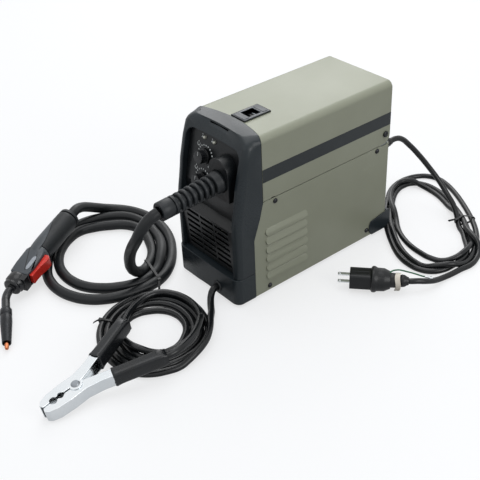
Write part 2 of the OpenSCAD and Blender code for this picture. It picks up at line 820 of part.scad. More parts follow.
// Moulded knob with a fluted grip and a pointer ridge; its shaft goes into the bushing
module knob() {
    flutes = 18;
    skirt_top = 3.4;
    grip = knob_r - 2;
    translate([0, 0, 1]) cylinder(h = skirt_top - 1, r = knob_r);
    translate([0, 0, skirt_top - 0.5]) linear_extrude(knob_h - skirt_top + 0.5) polygon([
        for (i = [0:4 * flutes - 1]) let (r = grip + 0.35 * cos(90 * i), a = 90 * i / flutes)
            [r * cos(a), r * sin(a)]
    ]);
    translate([-0.9, 2, knob_h - 0.5]) cube([1.8, knob_r - 5, 1]);
    translate([0, 0, -9]) cylinder(h = 12, r = shaft_r);
}

module knob_voltage() color(black) on_panel(knob_places[0][0], knob_places[0][1]) knob();
module knob_wire_speed() color(black) on_panel(knob_places[1][0], knob_places[1][1]) knob();

module indicator_lenses() color("#D9D6C0") {
    for (p = lamp_places) on_panel(p[0], p[1]) {
        translate([0, 0, -4]) cylinder(h = 5, r = 2.5);
        translate([0, 0, 1]) intersection() {
            sphere(2.5);
            translate([-3, -3, 0]) cube(6);
        }
    }
}

module control_board() color(board_green) {
    on_panel(knob_x, knob_top_z - knob_pitch / 2) translate([-24, -36, -19]) cube([58, 80, 1.6]);
    for (p = knob_places) on_panel(p[0], p[1]) difference() {
        union() {
            translate([0, 0, -17.4]) cylinder(h = 12.6, r = 8.5);
            translate([0, 0, -6]) cylinder(h = 6.6, r = bushing_r);
        }
        translate([0, 0, -9.5]) cylinder(h = 12, r = shaft_r + run);
    }
    for (p = lamp_places) on_panel(p[0], p[1]) translate([0, 0, -17.4]) cylinder(h = 13.2, r = 1.6);
}

// Torch outlet

module torch_socket() color(black) {
    arch_r = 20.5;
    arch_z = wire_z + 13;
    base_z = panel_low_z + 3;
    front = 7 - nose_y;
    difference() {
        along_y(front, -115) {
            translate([wire_x, arch_z]) circle(arch_r);
            translate([wire_x - arch_r, base_z]) square([2 * arch_r, arch_z - base_z]);
        }
        // seat on the leaning panel
        along_x(wire_x - 30, wire_x + 30) polygon([
            [panel_y(panel_top_z) - fit, panel_top_z], [panel_low_y - fit, panel_low_z],
            [-80, panel_low_z], [-80, panel_top_z]
        ]);
        // mouth that takes the boot
        translate([wire_x, 0, wire_z]) bar_y(front - 1, front + 5, boot_r + 0.6);
        translate([wire_x, 0, wire_z]) bar_y(front - 1, -100, outlet_r + 0.4);
    }
}

module torch_outlet_tube() color(brass) {
    front = 9.5 - nose_y;
    difference() {
        translate([wire_x, 0, wire_z]) union() {
            bar_y(front, feed_y - 27 - fit, outlet_r);
            bar_y(-119, -111, outlet_r + 5);
        }
        translate([wire_x, 0, wire_z]) bar_y(front - 1, feed_y, 1.6);
    }
}

module boot_at() {
    translate([wire_x, -nose_y + 9, wire_z]) rotate([90 + 3.4, 0, 0]) children();
}

module torch_boot() {
    rib_pitch = 8;
    root_l = 26;
    ribs_l = boot_ribs * rib_pitch;
    rib_at = function (i) boot_r - 0.4 - 2.2 * i / boot_ribs;
    color(rubber) boot_at() {
        rotate_extrude() polygon(concat(
            [[hose_d / 2 + 0.3, 0.4], [boot_r, 0.4], [boot_r, 6]],
            [[boot_r - 1.5, 12], [boot_r - 3, root_l - 3]],
            [
                for (i = [0:boot_ribs - 1]) let (z = root_l + i * rib_pitch, r = rib_at(i))
                    each [
                        [r - 4.6, z], [r - 4.6, z + 2.6], [r - 0.4, z + 3], [r, z + 3.8],
                        [r, z + 5.8], [r - 0.4, z + 6.6], [r - 4.6, z + 7.2]
                    ]
            ],
            [[9.4, root_l + ribs_l + 1], [hose_d / 2 + 0.3, root_l + ribs_l + 1]]
        ));
        translate([0, 0, root_l + ribs_l + 1.3]) rotate_extrude() polygon([
            [hose_d / 2 + 0.3, 0], [12.6, 0], [13.2, 0.8], [13.2, 16], [12.6, 17],
            [hose_d / 2 + 0.3, 17]
        ]);
    }
}

// Wire feed

module feeder_frame() color(zinc) {
    y0 = feed_y - 27;
    difference() {
        union() {
            along_x(frame_x - 3, frame_x) translate([y0, deck_top + fit])
                round_rect(0, 0, 58, arm_pivot[1] + 9 - deck_top, 4);
            translate([frame_x - 20, y0, deck_top + fit]) cube([20, 58, 2]);
            // pivot pin of the arm
            translate([0, arm_pivot[0], arm_pivot[1]]) bar_x(frame_x - 1, arm_x1 + 2, 3);
            // inlet guide and outlet guide round the wire line
            for (y = [y0 + fit, feed_y + 16])
                translate([frame_x - 1, y, wire_z - 5]) cube([wire_x - frame_x + 6, 9, 10]);
            // lug that holds the tension screw
            translate([frame_x - 1, tension_y - 6, wire_z - 14]) cube([arm_x1 - frame_x + 2, 12, 6]);
        }
        translate([wire_x, 0, wire_z]) bar_y(y0 - 1, feed_y + 40, 1.2);
        translate([0, feed_y, roll_z]) bar_x(frame_x - 5, frame_x + 1, 8);
        translate([tension_x, tension_y, wire_z - 30]) cylinder(h = 26, r = tension_r + run);
        translate([tension_x, tension_y, wire_z - 5.5]) cylinder(h = 12, r = 3);
    }
}

module feeder_motor() color("#3A3D40") {
    x1 = frame_x - 3 - fit;
    difference() {
        union() {
            translate([x1 - 22, feed_y - 19, roll_z - 13]) cube([22, 38, 30]);
            translate([0, feed_y, roll_z + 1]) bar_x(x1 - 62, x1 - 22, 15);
            translate([0, feed_y, roll_z + 1]) bar_x(x1 - 66, x1 - 62, 5);
        }
        translate([0, feed_y, roll_z]) bar_x(x1 - 15, x1 + 1, 4 + run);
    }
}

module drive_roll() color(steel) {
    half = 4;
    translate([wire_x, feed_y, roll_z]) rotate([0, 90, 0]) rotate_extrude() polygon([
        [0, -half - 26], [4, -half - 26], [4, -half - 2], [7, -half - 2], [7, -half],
        [drive_r, -half], [drive_r, -1], [drive_r - 0.6, -0.4], [drive_r - 0.6, 0.4],
        [drive_r, 1], [drive_r, half], [6, half], [6, half + 3], [0, half + 3]
    ]);
}

module pressure_arm() color("#26292B") {
    axle_y = feed_y;
    difference() {
        union() {
            along_x(arm_x0, arm_x1) {
                translate([arm_pivot[0], arm_pivot[1]]) circle(7);
                polygon([
                    [arm_pivot[0], arm_pivot[1] - 7], [axle_y + 4, idler_z - 6],
                    [tension_y - 7, wire_z + 12], [tension_y + 8, wire_z + 12],
                    [tension_y + 8, arm_top], [arm_pivot[0], arm_pivot[1] + 7]
                ]);
            }
            translate([0, axle_y, idler_z]) bar_x(arm_x1 - 1, wire_x + 6, 2.5);
        }
        translate([0, arm_pivot[0], arm_pivot[1]]) bar_x(arm_x0 - 1, arm_x1 + 1, 3 + run);
        translate([tension_x, tension_y, wire_z]) cylinder(h = 40, r = 2.4);
    }
}

module pressure_roller() color(steel) {
    translate([wire_x, feed_y, idler_z]) rotate([0, 90, 0]) difference() {
        cylinder(h = 8, r = idler_r, center = true);
        cylinder(h = 10, r = 2.5 + run, center = true);
    }
}

module tension_knob() color(black) {
    knob_z = arm_top + 14;
    translate([tension_x, tension_y, 0]) {
        translate([0, 0, wire_z - 15]) cylinder(h = knob_z - wire_z + 16, r = tension_r);
        translate([0, 0, knob_z]) linear_extrude(15)
            polygon([for (i = [0:39]) let (r = 7 + 0.5 * cos(90 * i)) [r * cos(9 * i), r * sin(9 * i)]]);
    }
}

module tension_spring() color(steel) {
    turns = 4;
    z0 = arm_top + 0.9;
    rise = 12.3 - 0.6;
    route = [
        for (i = [0:turns * 10]) let (a = 36 * i)
            [tension_x + 3.9 * cos(a), tension_y + 3.9 * sin(a), z0 + rise * i / (turns * 10)]
    ];
    tube(route, 1.2, 8, [0, 0, 1]);
}

module spool_bracket() {
    x1 = wire_x - spool_w / 2 - 2;
    color(zinc) {
        along_x(x1 - 2.5, x1) polygon([
            [spool_y - 28, deck_top + fit], [spool_y + 28, deck_top + fit],
            [spool_y + 12, spool_z + 14], [spool_y - 12, spool_z + 14]
        ]);
        translate([x1 - 20, spool_y - 28, deck_top + fit]) cube([20, 56, 2]);
        translate([0, spool_y, spool_z]) bar_x(x1 - 1, wire_x + spool_w / 2 + 3.5, spool_bore - run);
    }
    color(black) translate([0, spool_y, spool_z]) difference() {
        union() {
            bar_x(wire_x + spool_w / 2 + 0.6, wire_x + spool_w / 2 + 4.6, 13);
            for (i = [0:2]) rotate([120 * i, 0, 0])
                translate([wire_x + spool_w / 2 + 4.6, -2, 0]) cube([4, 4, 11]);
        }
        bar_x(wire_x, wire_x + spool_w / 2 + 3.8, spool_bore + 0.1);
    }
}

module wire_spool() color("#1F2224") {
    flange = 3;
    translate([wire_x, spool_y, spool_z]) rotate([0, 90, 0]) difference() {
        translate([0, 0, -spool_w / 2]) union() {
            cylinder(h = flange, r = spool_r, $fn = 72);
            translate([0, 0, spool_w - flange]) cylinder(h = flange, r = spool_r, $fn = 72);
            cylinder(h = spool_w, r = 20);
        }
        cylinder(h = spool_w + 2, r = spool_bore, center = true);
        for (i = [0:3]) rotate([0, 0, 45 + 90 * i]) translate([14, 0, -spool_w / 2 - 1])
            cylinder(h = spool_w + 2, r = 3, $fn = 24);
        for (i = [0:5]) rotate([0, 0, 60 * i]) translate([spool_r - 9, 0, -spool_w / 2 - 1])
            cylinder(h = spool_w + 2, r = 5, $fn = 24);
    }
}

module spool_wire() color("#A8724A") {
    translate([wire_x, spool_y, spool_z]) rotate([0, 90, 0]) difference() {
        cylinder(h = spool_w - 6 - 2 * fit, r = spool_r - 17, center = true);
        cylinder(h = spool_w, r = 20 + fit, center = true);
    }
}

// Power electronics

module power_board() {
    z = tray_z + 14;
    color(board_green) translate([-12, -92, z]) cube([72, 190, 1.6]);
    color(zinc) for (x = [-8, 55], y = [-86, 92])
        translate([x, y, tray_z + 1.5]) cylinder(h = z - tray_z - 1.8, r = 3.5);
    color("#22324A") for (i = [0:2]) translate([40, -62 + i * 34, z + 1.9]) {
        cylinder(h = 38, r = 14);
        translate([0, 0, 38]) cylinder(h = 1, r = 11);
    }
    color("#4A4640") translate([-6, 42, z + 1.9]) {
        cube([44, 46, 8]);
        translate([0, 0, 38]) cube([44, 46, 8]);
        cube([8, 46, 46]);
        translate([36, 0, 0]) cube([8, 46, 46]);
        translate([22, 23, 8.2]) difference() {
            cylinder(h = 29.6, r = 12);
            translate([0, 0, -1]) cylinder(h = 32, r = 6);
        }
        translate([22, 23, 0]) cylinder(h = 46, r = 5.7);
    }
}

module heat_sink() color(steel) {
    fins = 9;
    z0 = tray_z + 1.5;
    translate([-58, -70, z0]) cube([36, 150, 6]);
    for (i = [0:fins - 1])
        translate([-58 + i * (36 - 1.6) / (fins - 1), -70, z0 + 6]) cube([1.6, 150, 52]);
}

module fan_frame() color(black) {
    half = fan_size / 2;
    bore = half - 2.5;
    difference() {
        along_y(fan_rear - fan_depth, fan_rear) translate([0, fan_z])
            round_rect(-half, -half, half, half, 4);
        translate([0, 0, fan_z]) bar_y(fan_rear - fan_depth - 1, fan_rear + 1, bore);
        for (sx = [-1, 1], sz = [-1, 1]) translate([sx * (half - 5), 0, fan_z + sz * (half - 5)])
            bar_y(fan_rear - fan_depth - 1, fan_rear + 1, 2.2);
    }
    difference() {
        union() {
            translate([0, 0, fan_z]) bar_y(fan_rear - 4, fan_rear, 15);
            for (i = [0:3]) translate([0, 0, fan_z]) rotate([0, 45 + 90 * i, 0])
                translate([-1.5, fan_rear - 4, 12]) cube([3, 4, bore - 11]);
        }
        translate([0, 0, fan_z]) bar_y(fan_rear - 5, fan_rear + 1, 2 + run);
    }
}

module fan_rotor() color("#2A2D2F") {
    tip = fan_size / 2 - 4;
    rotor_l = fan_depth - 7;
    y1 = fan_rear - 5;
    translate([0, 0, fan_z]) {
        bar_y(y1 - rotor_l, y1, 15);
        bar_y(y1 - 1, fan_rear - 0.6, 2);
        intersection() {
            bar_y(y1 - rotor_l, y1, tip);
            for (i = [0:fan_blades - 1]) rotate([0, 360 * i / fan_blades, 0])
                translate([0, y1 - rotor_l / 2, 14]) rotate([0, 0, 48])
                    translate([-0.9, -rotor_l * 0.7, 0]) cube([1.8, rotor_l * 1.4, tip]);
        }
    }
}

module switch_frame() color(black) {
    difference() {
        union() {
            along_y(back_y - sheet, back_y + 1.6)
                round_rect(switch_x - 16, switch_z - 12, switch_x + 16, switch_z + 12, 2.5);
            along_y(back_y - 24, back_y)
                round_rect(switch_x - 13.6, switch_z - 9.6, switch_x + 13.6, switch_z + 9.6, 1.5);
        }
        along_y(back_y - 9, back_y + 2)
            round_rect(switch_x - 11.5, switch_z - 8, switch_x + 11.5, switch_z + 8, 0.8);
        translate(rocker_at) cylinder(h = 18, r = rocker_pin + run, center = true);
    }
}

module switch_rocker() color("#202325") {
    translate(rocker_at) {
        rotate([0, 0, rocker_tilt]) translate([0, 0, -7.6]) linear_extrude(15.2) polygon([
            [-10.4, -1.5], [-10.4, 3.2], [-5, 1.9], [0, 1.4], [5, 1.9], [10.4, 3.2],
            [10.4, -1.5], [0, -5]
        ]);
        cylinder(h = 17.4, r = rocker_pin, center = true);
    }
}

// Mains cord and plug

module mains_gland() color(black) {
    translate([gland_x, back_y, gland_z]) rotate([-90, 0, 0]) difference() {
        union() {
            translate([0, 0, 0.3]) cylinder(h = 5, r = 10, $fn = 6);
            translate([0, 0, -5]) cylinder(h = 6, r = gland_hole - 0.3);
            translate([0, 0, -6.4]) cylinder(h = 3, r = 9);
            for (i = [0:2]) translate([0, 0, 5.3 + i * 5.6])
                cylinder(h = 4, r1 = 8.4 - i * 0.9, r2 = 7.6 - i * 0.9);
            translate([0, 0, 5.2]) cylinder(h = 17.6, r1 = 7, r2 = 5.4);
        }
        translate([0, 0, -8]) cylinder(h = 32, r = mains_d / 2 + 0.3);
    }
}

module mains_cord() color(rubber) {
    tube(mains_drop_route, mains_d, 8, [1, -0.6, 0.2]);
    tube(mains_tail_route, mains_d, 8, [0, 0, 1]);
}

// Ring with an oval plan, for a coil that lies on the floor
module oval_coil(at, a, b, band, turn, height) {
    step = height / 4;
    translate([at[0], at[1], 0]) rotate([0, 0, turn]) difference() {
        union() {
            linear_extrude(height - step) oval(a, b);
            linear_extrude(height) oval(a - step, b - step);
        }
        translate([0, 0, -1]) linear_extrude(height + 2) oval(a - band, b - band);
    }
}

module oval(a, b) {
    polygon([for (i = [0:39]) [a * cos(9 * i), b * sin(9 * i)]]);
}

module mains_cord_coil() color(rubber)
    oval_coil(mains_coil_at, mains_coil_a, mains_coil_b, mains_coil_band, mains_coil_turn, 1.5 * mains_d);

module plug_at() {
    translate(plug_end) rotate([0, 0, plug_yaw]) rotate([0, 90, 0]) children();
}

module plug_body() color(black) {
    plug_at() difference() {
        rotate_extrude() polygon([
            [0, 0.2], [5.6, 0.2], [6.6, 3], [8.6, 6], [9.2, 10], [8.2, 12], [10.4, 15],
            [11, 28], [9.8, 29], [9.8, 38], [0, 38]
        ]);
        translate([0, 0, -1]) cylinder(h = 6, r = mains_d / 2 + 0.2);
    }
}

module plug_adapter() color(black) {
    plug_at() difference() {
        union() {
            translate([0, 0, adapter_back]) rotate_extrude() polygon([
                [0, 0], [12.6, 0], [16.6, 9], [17, 19], [19, 22], [19, 26], [16, 28], [0, 28]
            ]);
            translate([0, 0, adapter_back + 26]) linear_extrude(adapter_face - adapter_back - 26)
                round_rect(-12.4, -12.4, 12.4, 12.4, 4);
        }
        translate([0, 0, adapter_back - 2]) cylinder(h = 14.3, r = 11.3);
        for (s = [-1, 1]) translate([s * 6.35 - 0.95, -3.35, adapter_face - 12]) cube([1.9, 6.7, 14]);
    }
}

module plug_blades() color(steel) {
    plug_at() for (s = [-1, 1]) translate([s * 6.35, 0, adapter_face - 11]) rotate([90, 0, 90])
        translate([0, 0, -0.75]) linear_extrude(1.5) difference() {
            round_rect(-3.15, 0, 3.15, 11 + 17, 1);
            translate([0, 25]) circle(1.5);
        }
}

// Torch, hose and coil

module torch_hose() color(rubber) {
    tube(hose_drop_route, hose_d, 12, [0.8, -0.6, 0.25]);
    tube(hose_tail_route, hose_d, 12, [0, 0, 1]);
}

module torch_hose_coil() color(rubber)
    oval_coil(hose_coil_at, hose_coil_a, hose_coil_b, hose_coil_band, hose_coil_turn, hose_d);

module torch_at() {
    translate(torch_rear) rotate([0, torch_pitch, torch_yaw]) children();
}

module torch_grip() color(rubber) {
    torch_at() rotate([0, 90, 0]) rotate_extrude() polygon([
        [0, 4], [hose_d / 2 + 0.3, 4], [hose_d / 2 + 0.3, 0], [12.6, 0], [13.4, 1], [13.4, 5],
        [grip_r - 1.6, 6], [grip_r - 0.3, 8.5], [grip_r, 14], [grip_r, grip_l - 16],
        [grip_r - 1, grip_l], [0, grip_l]
    ]);
}

module torch_body() color("#4A4F53") {
    x0 = grip_l + fit;
    x1 = grip_l + torch_body_l;
    torch_at() difference() {
        hull() {
            translate([x0, 0, 0]) rotate([0, 90, 0]) cylinder(h = 2, r = grip_r - 1.2, $fn = 32);
            translate([x0 + 12, -15, -13]) cube([2, 31, 26]);
            translate([x1 - 18, -14.5, -12.5]) cube([2, 33, 25]);
            translate([x1 - 3, -13, -12]) cube([3, 30, 24]);
        }
        // pocket of the trigger
        translate([trigger_x0 - 1.5, 6, -trigger_half - fit])
            cube([trigger_l + 1.5 + fit, 30, 2 * (trigger_half + fit)]);
        translate([trigger_pivot[0], trigger_pivot[1], -12]) cylinder(h = 24, r = 1.5 + run);
    }
}

module torch_trigger() color("#D23A30") {
    torch_at() {
        translate([trigger_x0, 0, -trigger_half]) linear_extrude(2 * trigger_half) polygon([
            [0, 12], [0, 22], [4, 25.5], [12, 26], [24, 23.5], [36, 22.6], [trigger_l, 23],
            [trigger_l, 19], [trigger_l - 0.4, 12]
        ]);
        translate([trigger_pivot[0], trigger_pivot[1], -10.5]) cylinder(h = 21, r = 1.5);
    }
}

module torch_neck() color(black) {
    x0 = grip_l + torch_body_l + fit;
    torch_at() union() {
        translate([x0, 0, 0]) rotate([0, 90, 0]) rotate_extrude() polygon([
            [0, 0], [nut_r - 1, 0], [nut_r, 2], [nut_r, nut_l * 0.55],
            [nut_r - 2, nut_l * 0.7], [nut_r - 1.5, nut_l - 4], [nut_r - 4, nut_l - 2],
            [neck_r + 1, nut_l - 2], [neck_r, nut_l - 2], [neck_r, nut_l - fit + neck_lead],
            [0, nut_l - fit + neck_lead]
        ]);
        translate([x0, 4, -11]) cube([11, 14, 22]);
        translate([neck_x + neck_lead, bend_r, 0]) rotate([0, 0, -90])
            rotate_extrude(angle = neck_bend) translate([bend_r, 0]) circle(neck_r);
        at_neck_end() rotate([0, 90, 0]) cylinder(h = neck_straight, r = neck_r);
    }
}

module at_neck_end() {
    translate([neck_end[0], neck_end[1], 0]) rotate([0, 0, neck_bend]) children();
}

module torch_nozzle() color(black) {
    torch_at() at_neck_end() translate([neck_straight - 4, 0, 0]) rotate([0, 90, 0])
        rotate_extrude() polygon([
        [neck_r + fit, 0], [nozzle_r - 1.2, 0], [nozzle_r, 2], [nozzle_r, 12], [nozzle_r - 0.9, 13],
        [nozzle_r - 0.9, 15], [nozzle_r, 16], [nozzle_r, 26], [nozzle_r - 2.2, nozzle_l],
        [nozzle_r - 3.6, nozzle_l], [nozzle_r - 3.4, 30], [neck_r + fit, 24]
    ]);
}

module contact_tip() color(copper) {
    torch_at() at_neck_end() translate([neck_straight + fit, 0, 0]) rotate([0, 90, 0])
        rotate_extrude() polygon([
            [0.6, 0], [4.2, 0], [4.2, 12], [3, 16], [3, nozzle_l + 3], [2.4, nozzle_l + 6],
            [0.6, nozzle_l + 6]
        ]);
}

// Earth lead and clamp

module earth_grommet() color(rubber) {
    p = lead_exit_route[0];
    translate([p[0], foot_front, p[2]]) rotate([90, 0, 0]) difference() {
        union() {
            translate([0, 0, 0.1]) cylinder(h = 2, r1 = lead_d / 2 + 4, r2 = lead_d / 2 + 3);
            translate([0, 0, -wall - 1]) cylinder(h = wall + 2, r = lead_d / 2 + 2);
        }
        translate([0, 0, -10]) cylinder(h = 20, r = lead_d / 2 + 0.3);
    }
}

module earth_lead() color(rubber) {
    tube(lead_exit_route, lead_d, 10, [1, 0.3, 0.1]);
    tube(lead_tail_route, lead_d, 10, [0, 0, 1]);
}

module earth_lead_coil() color(rubber)
    translate([lead_coil_at[0], lead_coil_at[1], 0]) rotate_extrude() polygon([
        [lead_coil_in, 0], [lead_coil_out, 0], [lead_coil_out, lead_coil_h - 4],
        [lead_coil_out - 5, lead_coil_h], [lead_coil_in + 5, lead_coil_h], [lead_coil_in, lead_coil_h - 4]
    ]);

module clamp_at() {
    translate(clamp_pivot) rotate([0, clamp_pitch, clamp_yaw]) children();
}

// A point along a handle: how far back, and how far out from its centre line
function on_handle(s, out) =
    [-s * cos(handle_half) + out * sin(handle_half), 3 + s * sin(handle_half) + out * cos(handle_half)];

// One pressed half of the clamp, seen square to the rivet, with its jaw at +X
module jaw_outline() {
    polygon([
        [jaw_l - 1, 0.4], [jaw_l + 1, 5], [jaw_l - 3, 10.5], [jaw_l - 14, 14.5], [15, 16], [-6, 15.5],
        on_handle(30, 7), on_handle(75, 7), on_handle(handle_l - 4, 7), on_handle(handle_l, 4),
        on_handle(handle_l, -3), on_handle(handle_l - 4, -6), on_handle(75, -6), on_handle(30, -6),
        [-14, 1.5], [-9, 0.4]
    ]);
    circle(9);
}

module jaw(half) {
    skin = 1.5;
    difference() {
        translate([0, 0, -half]) linear_extrude(2 * half) difference() {
            jaw_outline();
            // contact cut-outs
            translate([jaw_l - 16, 0]) circle(5);
            translate([jaw_l - 27, 0]) circle(4);
            translate([jaw_l - 32, -3]) square([12, 4.6]);
        }
        translate([0, -2.2, -half + skin]) linear_extrude(2 * (half - skin)) jaw_outline();
        translate([0, 0, -half + skin]) linear_extrude(2 * (half - skin)) {
            circle(10);
            translate([-14, -10]) square([jaw_l + 10, 10.4]);
        }
        translate([0, 0, -half - 1]) cylinder(h = 2 * half + 2, r = rivet_r + run);
    }
}

module clamp_jaw_fixed() color(steel) clamp_at() jaw(clamp_half - 1.8);
module clamp_jaw_moving() color(steel) clamp_at() mirror([0, 1, 0]) jaw(clamp_half);

module clamp_rivet() color(zinc) clamp_at() {
    translate([0, 0, -clamp_half - 0.2]) cylinder(h = 2 * clamp_half + 0.4, r = rivet_r);
    for (s = [0, 1]) mirror([0, 0, s]) translate([0, 0, clamp_half + 0.2])
        cylinder(h = 1.6, r1 = 6, r2 = 4.4);
    // coils of the torsion spring round the rivet
    for (i = [-2:2]) translate([0, 0, i * 2.6])
        rotate_extrude() translate([rivet_r + 1.8, 0]) circle(1.2, $fn = 16);
}

module sleeve(half, cord_hole) {
    s0 = 46;
    s1 = handle_l + 6;
    out = 8.8;
    back = 7.8;
    along_handle = s1 - s0;
    translate([on_handle(s0, 0)[0], on_handle(s0, 0)[1], 0]) rotate([0, 0, 180 - handle_half])
        rotate([90, 0, 90]) difference() {
            linear_extrude(along_handle) round_rect(-out, -half - 1.9, back, half + 1.9, 5);
            translate([0, 0, -1]) linear_extrude(handle_l + 1.3 - s0)
                round_rect(-out + 1.5, -half - fit, back - 1.5, half + fit, 0.6);
            translate([0, 0, along_handle - 12]) cylinder(h = 20, r = cord_hole);
        }
}

module sleeve_fixed() color(rubber) clamp_at() sleeve(clamp_half - 1.8, lead_d / 2 + 0.3);
module sleeve_moving() color(rubber) clamp_at() mirror([0, 1, 0]) sleeve(clamp_half, 5);

base_tray();
right_side_panel();
left_side_panel();
hood();
rear_panel();
mid_deck();
front_bezel();
control_panel();
front_grille();
front_foot();
rear_foot();
rubber_feet();
case_screws();
latch_plate();
latch_slider();
torch_socket();
torch_outlet_tube();
knob_voltage();
knob_wire_speed();
indicator_lenses();
control_board();
feeder_frame();
feeder_motor();
drive_roll();
pressure_arm();
pressure_roller();
tension_knob();
tension_spring();
spool_bracket();
wire_spool();
spool_wire();
power_board();
heat_sink();
fan_frame();
fan_rotor();
switch_frame();
switch_rocker();
mains_gland();
mains_cord();
mains_cord_coil();
plug_body();
plug_adapter();
plug_blades();
torch_boot();
torch_hose();
torch_hose_coil();
torch_grip();
torch_body();
torch_trigger();
torch_neck();
torch_nozzle();
contact_tip();
earth_grommet();
earth_lead();
earth_lead_coil();
clamp_jaw_fixed();
clamp_jaw_moving();
clamp_rivet();
sleeve_fixed();
sleeve_moving();
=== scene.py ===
import bpy
import bmesh
import math
from mathutils import Euler, Matrix, Vector, geometry
from mathutils.bvhtree import BVHTree


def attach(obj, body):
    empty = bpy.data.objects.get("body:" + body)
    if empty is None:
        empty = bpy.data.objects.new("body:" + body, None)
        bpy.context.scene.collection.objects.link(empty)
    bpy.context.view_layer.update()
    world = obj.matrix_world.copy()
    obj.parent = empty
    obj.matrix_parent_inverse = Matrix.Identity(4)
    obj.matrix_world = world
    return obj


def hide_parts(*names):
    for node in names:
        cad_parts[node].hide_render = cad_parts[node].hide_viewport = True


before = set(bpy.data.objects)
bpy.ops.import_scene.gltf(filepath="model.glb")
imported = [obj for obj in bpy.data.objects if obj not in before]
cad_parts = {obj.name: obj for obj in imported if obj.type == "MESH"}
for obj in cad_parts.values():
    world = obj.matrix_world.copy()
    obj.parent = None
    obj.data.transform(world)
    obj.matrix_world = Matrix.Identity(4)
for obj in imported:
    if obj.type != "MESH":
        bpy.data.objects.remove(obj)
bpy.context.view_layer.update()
mm = 0.001

# Studio. A plain white sweep under four large soft boxes; the camera stands to the right of the
# machine's front and looks down on it, a little tilted.
camera_data = bpy.data.cameras.new("camera")
camera_data.lens = 68.07
camera_data.sensor_width = 36
camera = bpy.data.objects.new("camera", camera_data)
bpy.context.scene.collection.objects.link(camera)
azimuth, elevation, roll = (math.radians(a) for a in (52.07, 34.39, -2.88))
back = Vector((math.sin(azimuth) * math.cos(elevation), -math.cos(azimuth) * math.cos(elevation),
               math.sin(elevation)))
level = Vector((math.cos(azimuth), math.sin(azimuth), 0))
right = math.cos(roll) * level + math.sin(roll) * back.cross(level)
up = back.cross(right)
eye = (0.86603, -0.76283, 0.80778)
camera.matrix_world = Matrix.Translation(eye) @ Matrix((right, up, back)).transposed().to_4x4()
bpy.context.scene.camera = camera
bpy.context.scene.view_settings.view_transform = "Standard"


def linear(code):
    """A hex colour as linear RGBA."""
    channels = [int(code[i:i + 2], 16) / 255 for i in (1, 3, 5)]
    return [c / 12.92 if c <= 0.04045 else ((c + 0.055) / 1.055) ** 2.4 for c in channels] + [1]


def add(tree, kind, sockets=None, **settings):
    """Adds a node; a socket's value is a number, a colour, or an output to link."""
    made = tree.nodes.new(kind)
    for name, value in settings.items():
        setattr(made, name, value)
    for name, value in (sockets or {}).items():
        if isinstance(value, bpy.types.NodeSocket):
            tree.links.new(value, made.inputs[name])
        else:
            made.inputs[name].default_value = value
    return made


def background_share(tree, mirror):
    """1 for rays that show the background to the eye, also through glass; `mirror` in reflections."""
    ray = add(tree, "ShaderNodeLightPath")
    mirrored = add(tree, "ShaderNodeMath", {0: ray.outputs["Is Glossy Ray"], 1: mirror},
                   operation="MULTIPLY")
    seen = add(tree, "ShaderNodeMath", {0: ray.outputs["Is Camera Ray"],
                                        1: ray.outputs["Is Transmission Ray"]}, operation="MAXIMUM")
    return add(tree, "ShaderNodeMath", {0: seen.outputs[0], 1: mirrored.outputs[0]},
               operation="MAXIMUM").outputs[0]


# The fill is a dome, bright overhead and dim at the horizon, so that dark plastics stay dark and
# bright metals find something to mirror.
world = bpy.data.worlds.new("studio")
world.use_nodes = True
bpy.context.scene.world = world
tree = world.node_tree
tree.nodes.clear()
height = add(tree, "ShaderNodeSeparateXYZ", {0: add(tree, "ShaderNodeTexCoord").outputs["Generated"]})
dome = add(tree, "ShaderNodeMapRange", {"Value": height.outputs["Z"], "From Min": 0.25,
                                        "From Max": 0.95, "To Min": 0.1, "To Max": 1.0})
fill = add(tree, "ShaderNodeBackground", {"Color": linear("#EEF4FC"), "Strength": dome.outputs[0]})
backdrop = add(tree, "ShaderNodeBackground", {"Color": (1, 1, 1, 1), "Strength": 1})
shown = background_share(tree, 0.85)
both = add(tree, "ShaderNodeMixShader", {0: shown, 1: fill.outputs[0], 2: backdrop.outputs[0]})
add(tree, "ShaderNodeOutputWorld", {"Surface": both.outputs[0]})

aim = Vector((0, 0, 0.1))
for name, place, size, power in (("front", (0.1, -1.5, 1.3), 0.9, 1),
                                 ("side", (1.7, 0.2, 0.9), 1.0, 8.5),
                                 ("top", (-0.2, 0.1, 2.0), 1.4, 8),
                                 ("back", (-1.3, 1.1, 1.35), 1.3, 12)):
    lamp_data = bpy.data.lights.new(name, "AREA")
    lamp_data.size = size
    lamp_data.energy = power
    lamp = bpy.data.objects.new(name, lamp_data)
    lamp.location = place
    lamp.rotation_euler = (Vector(place) - aim).to_track_quat("Z", "Y").to_euler()
    bpy.context.scene.collection.objects.link(lamp)

sweep_reach = 6
bm = bmesh.new()
bmesh.ops.create_grid(bm, x_segments=1, y_segments=1, size=sweep_reach)
floor_mesh = bpy.data.meshes.new("floor")
bm.to_mesh(floor_mesh)
bm.free()
floor = bpy.data.objects.new("floor", floor_mesh)
bpy.context.scene.collection.objects.link(floor)
floor_paint = bpy.data.materials.new("matt_white_sweep")
floor_paint.use_nodes = True
tree = floor_paint.node_tree
tree.nodes.clear()
shown = background_share(tree, 0.4)
tone = add(tree, "ShaderNodeMix", {"Factor": shown, 6: linear("#8C8C8C"), 7: linear("#FDFDFD")},
           data_type="RGBA")
diffuse = add(tree, "ShaderNodeBsdfDiffuse", {"Color": tone.outputs[2]})
glow = add(tree, "ShaderNodeEmission", {"Color": (1, 1, 1, 1), "Strength": 1})
share = add(tree, "ShaderNodeMath", {0: shown, 1: 0.65}, operation="MULTIPLY")
both = add(tree, "ShaderNodeMixShader", {0: share.outputs[0], 1: diffuse.outputs[0],
                                         2: glow.outputs[0]})
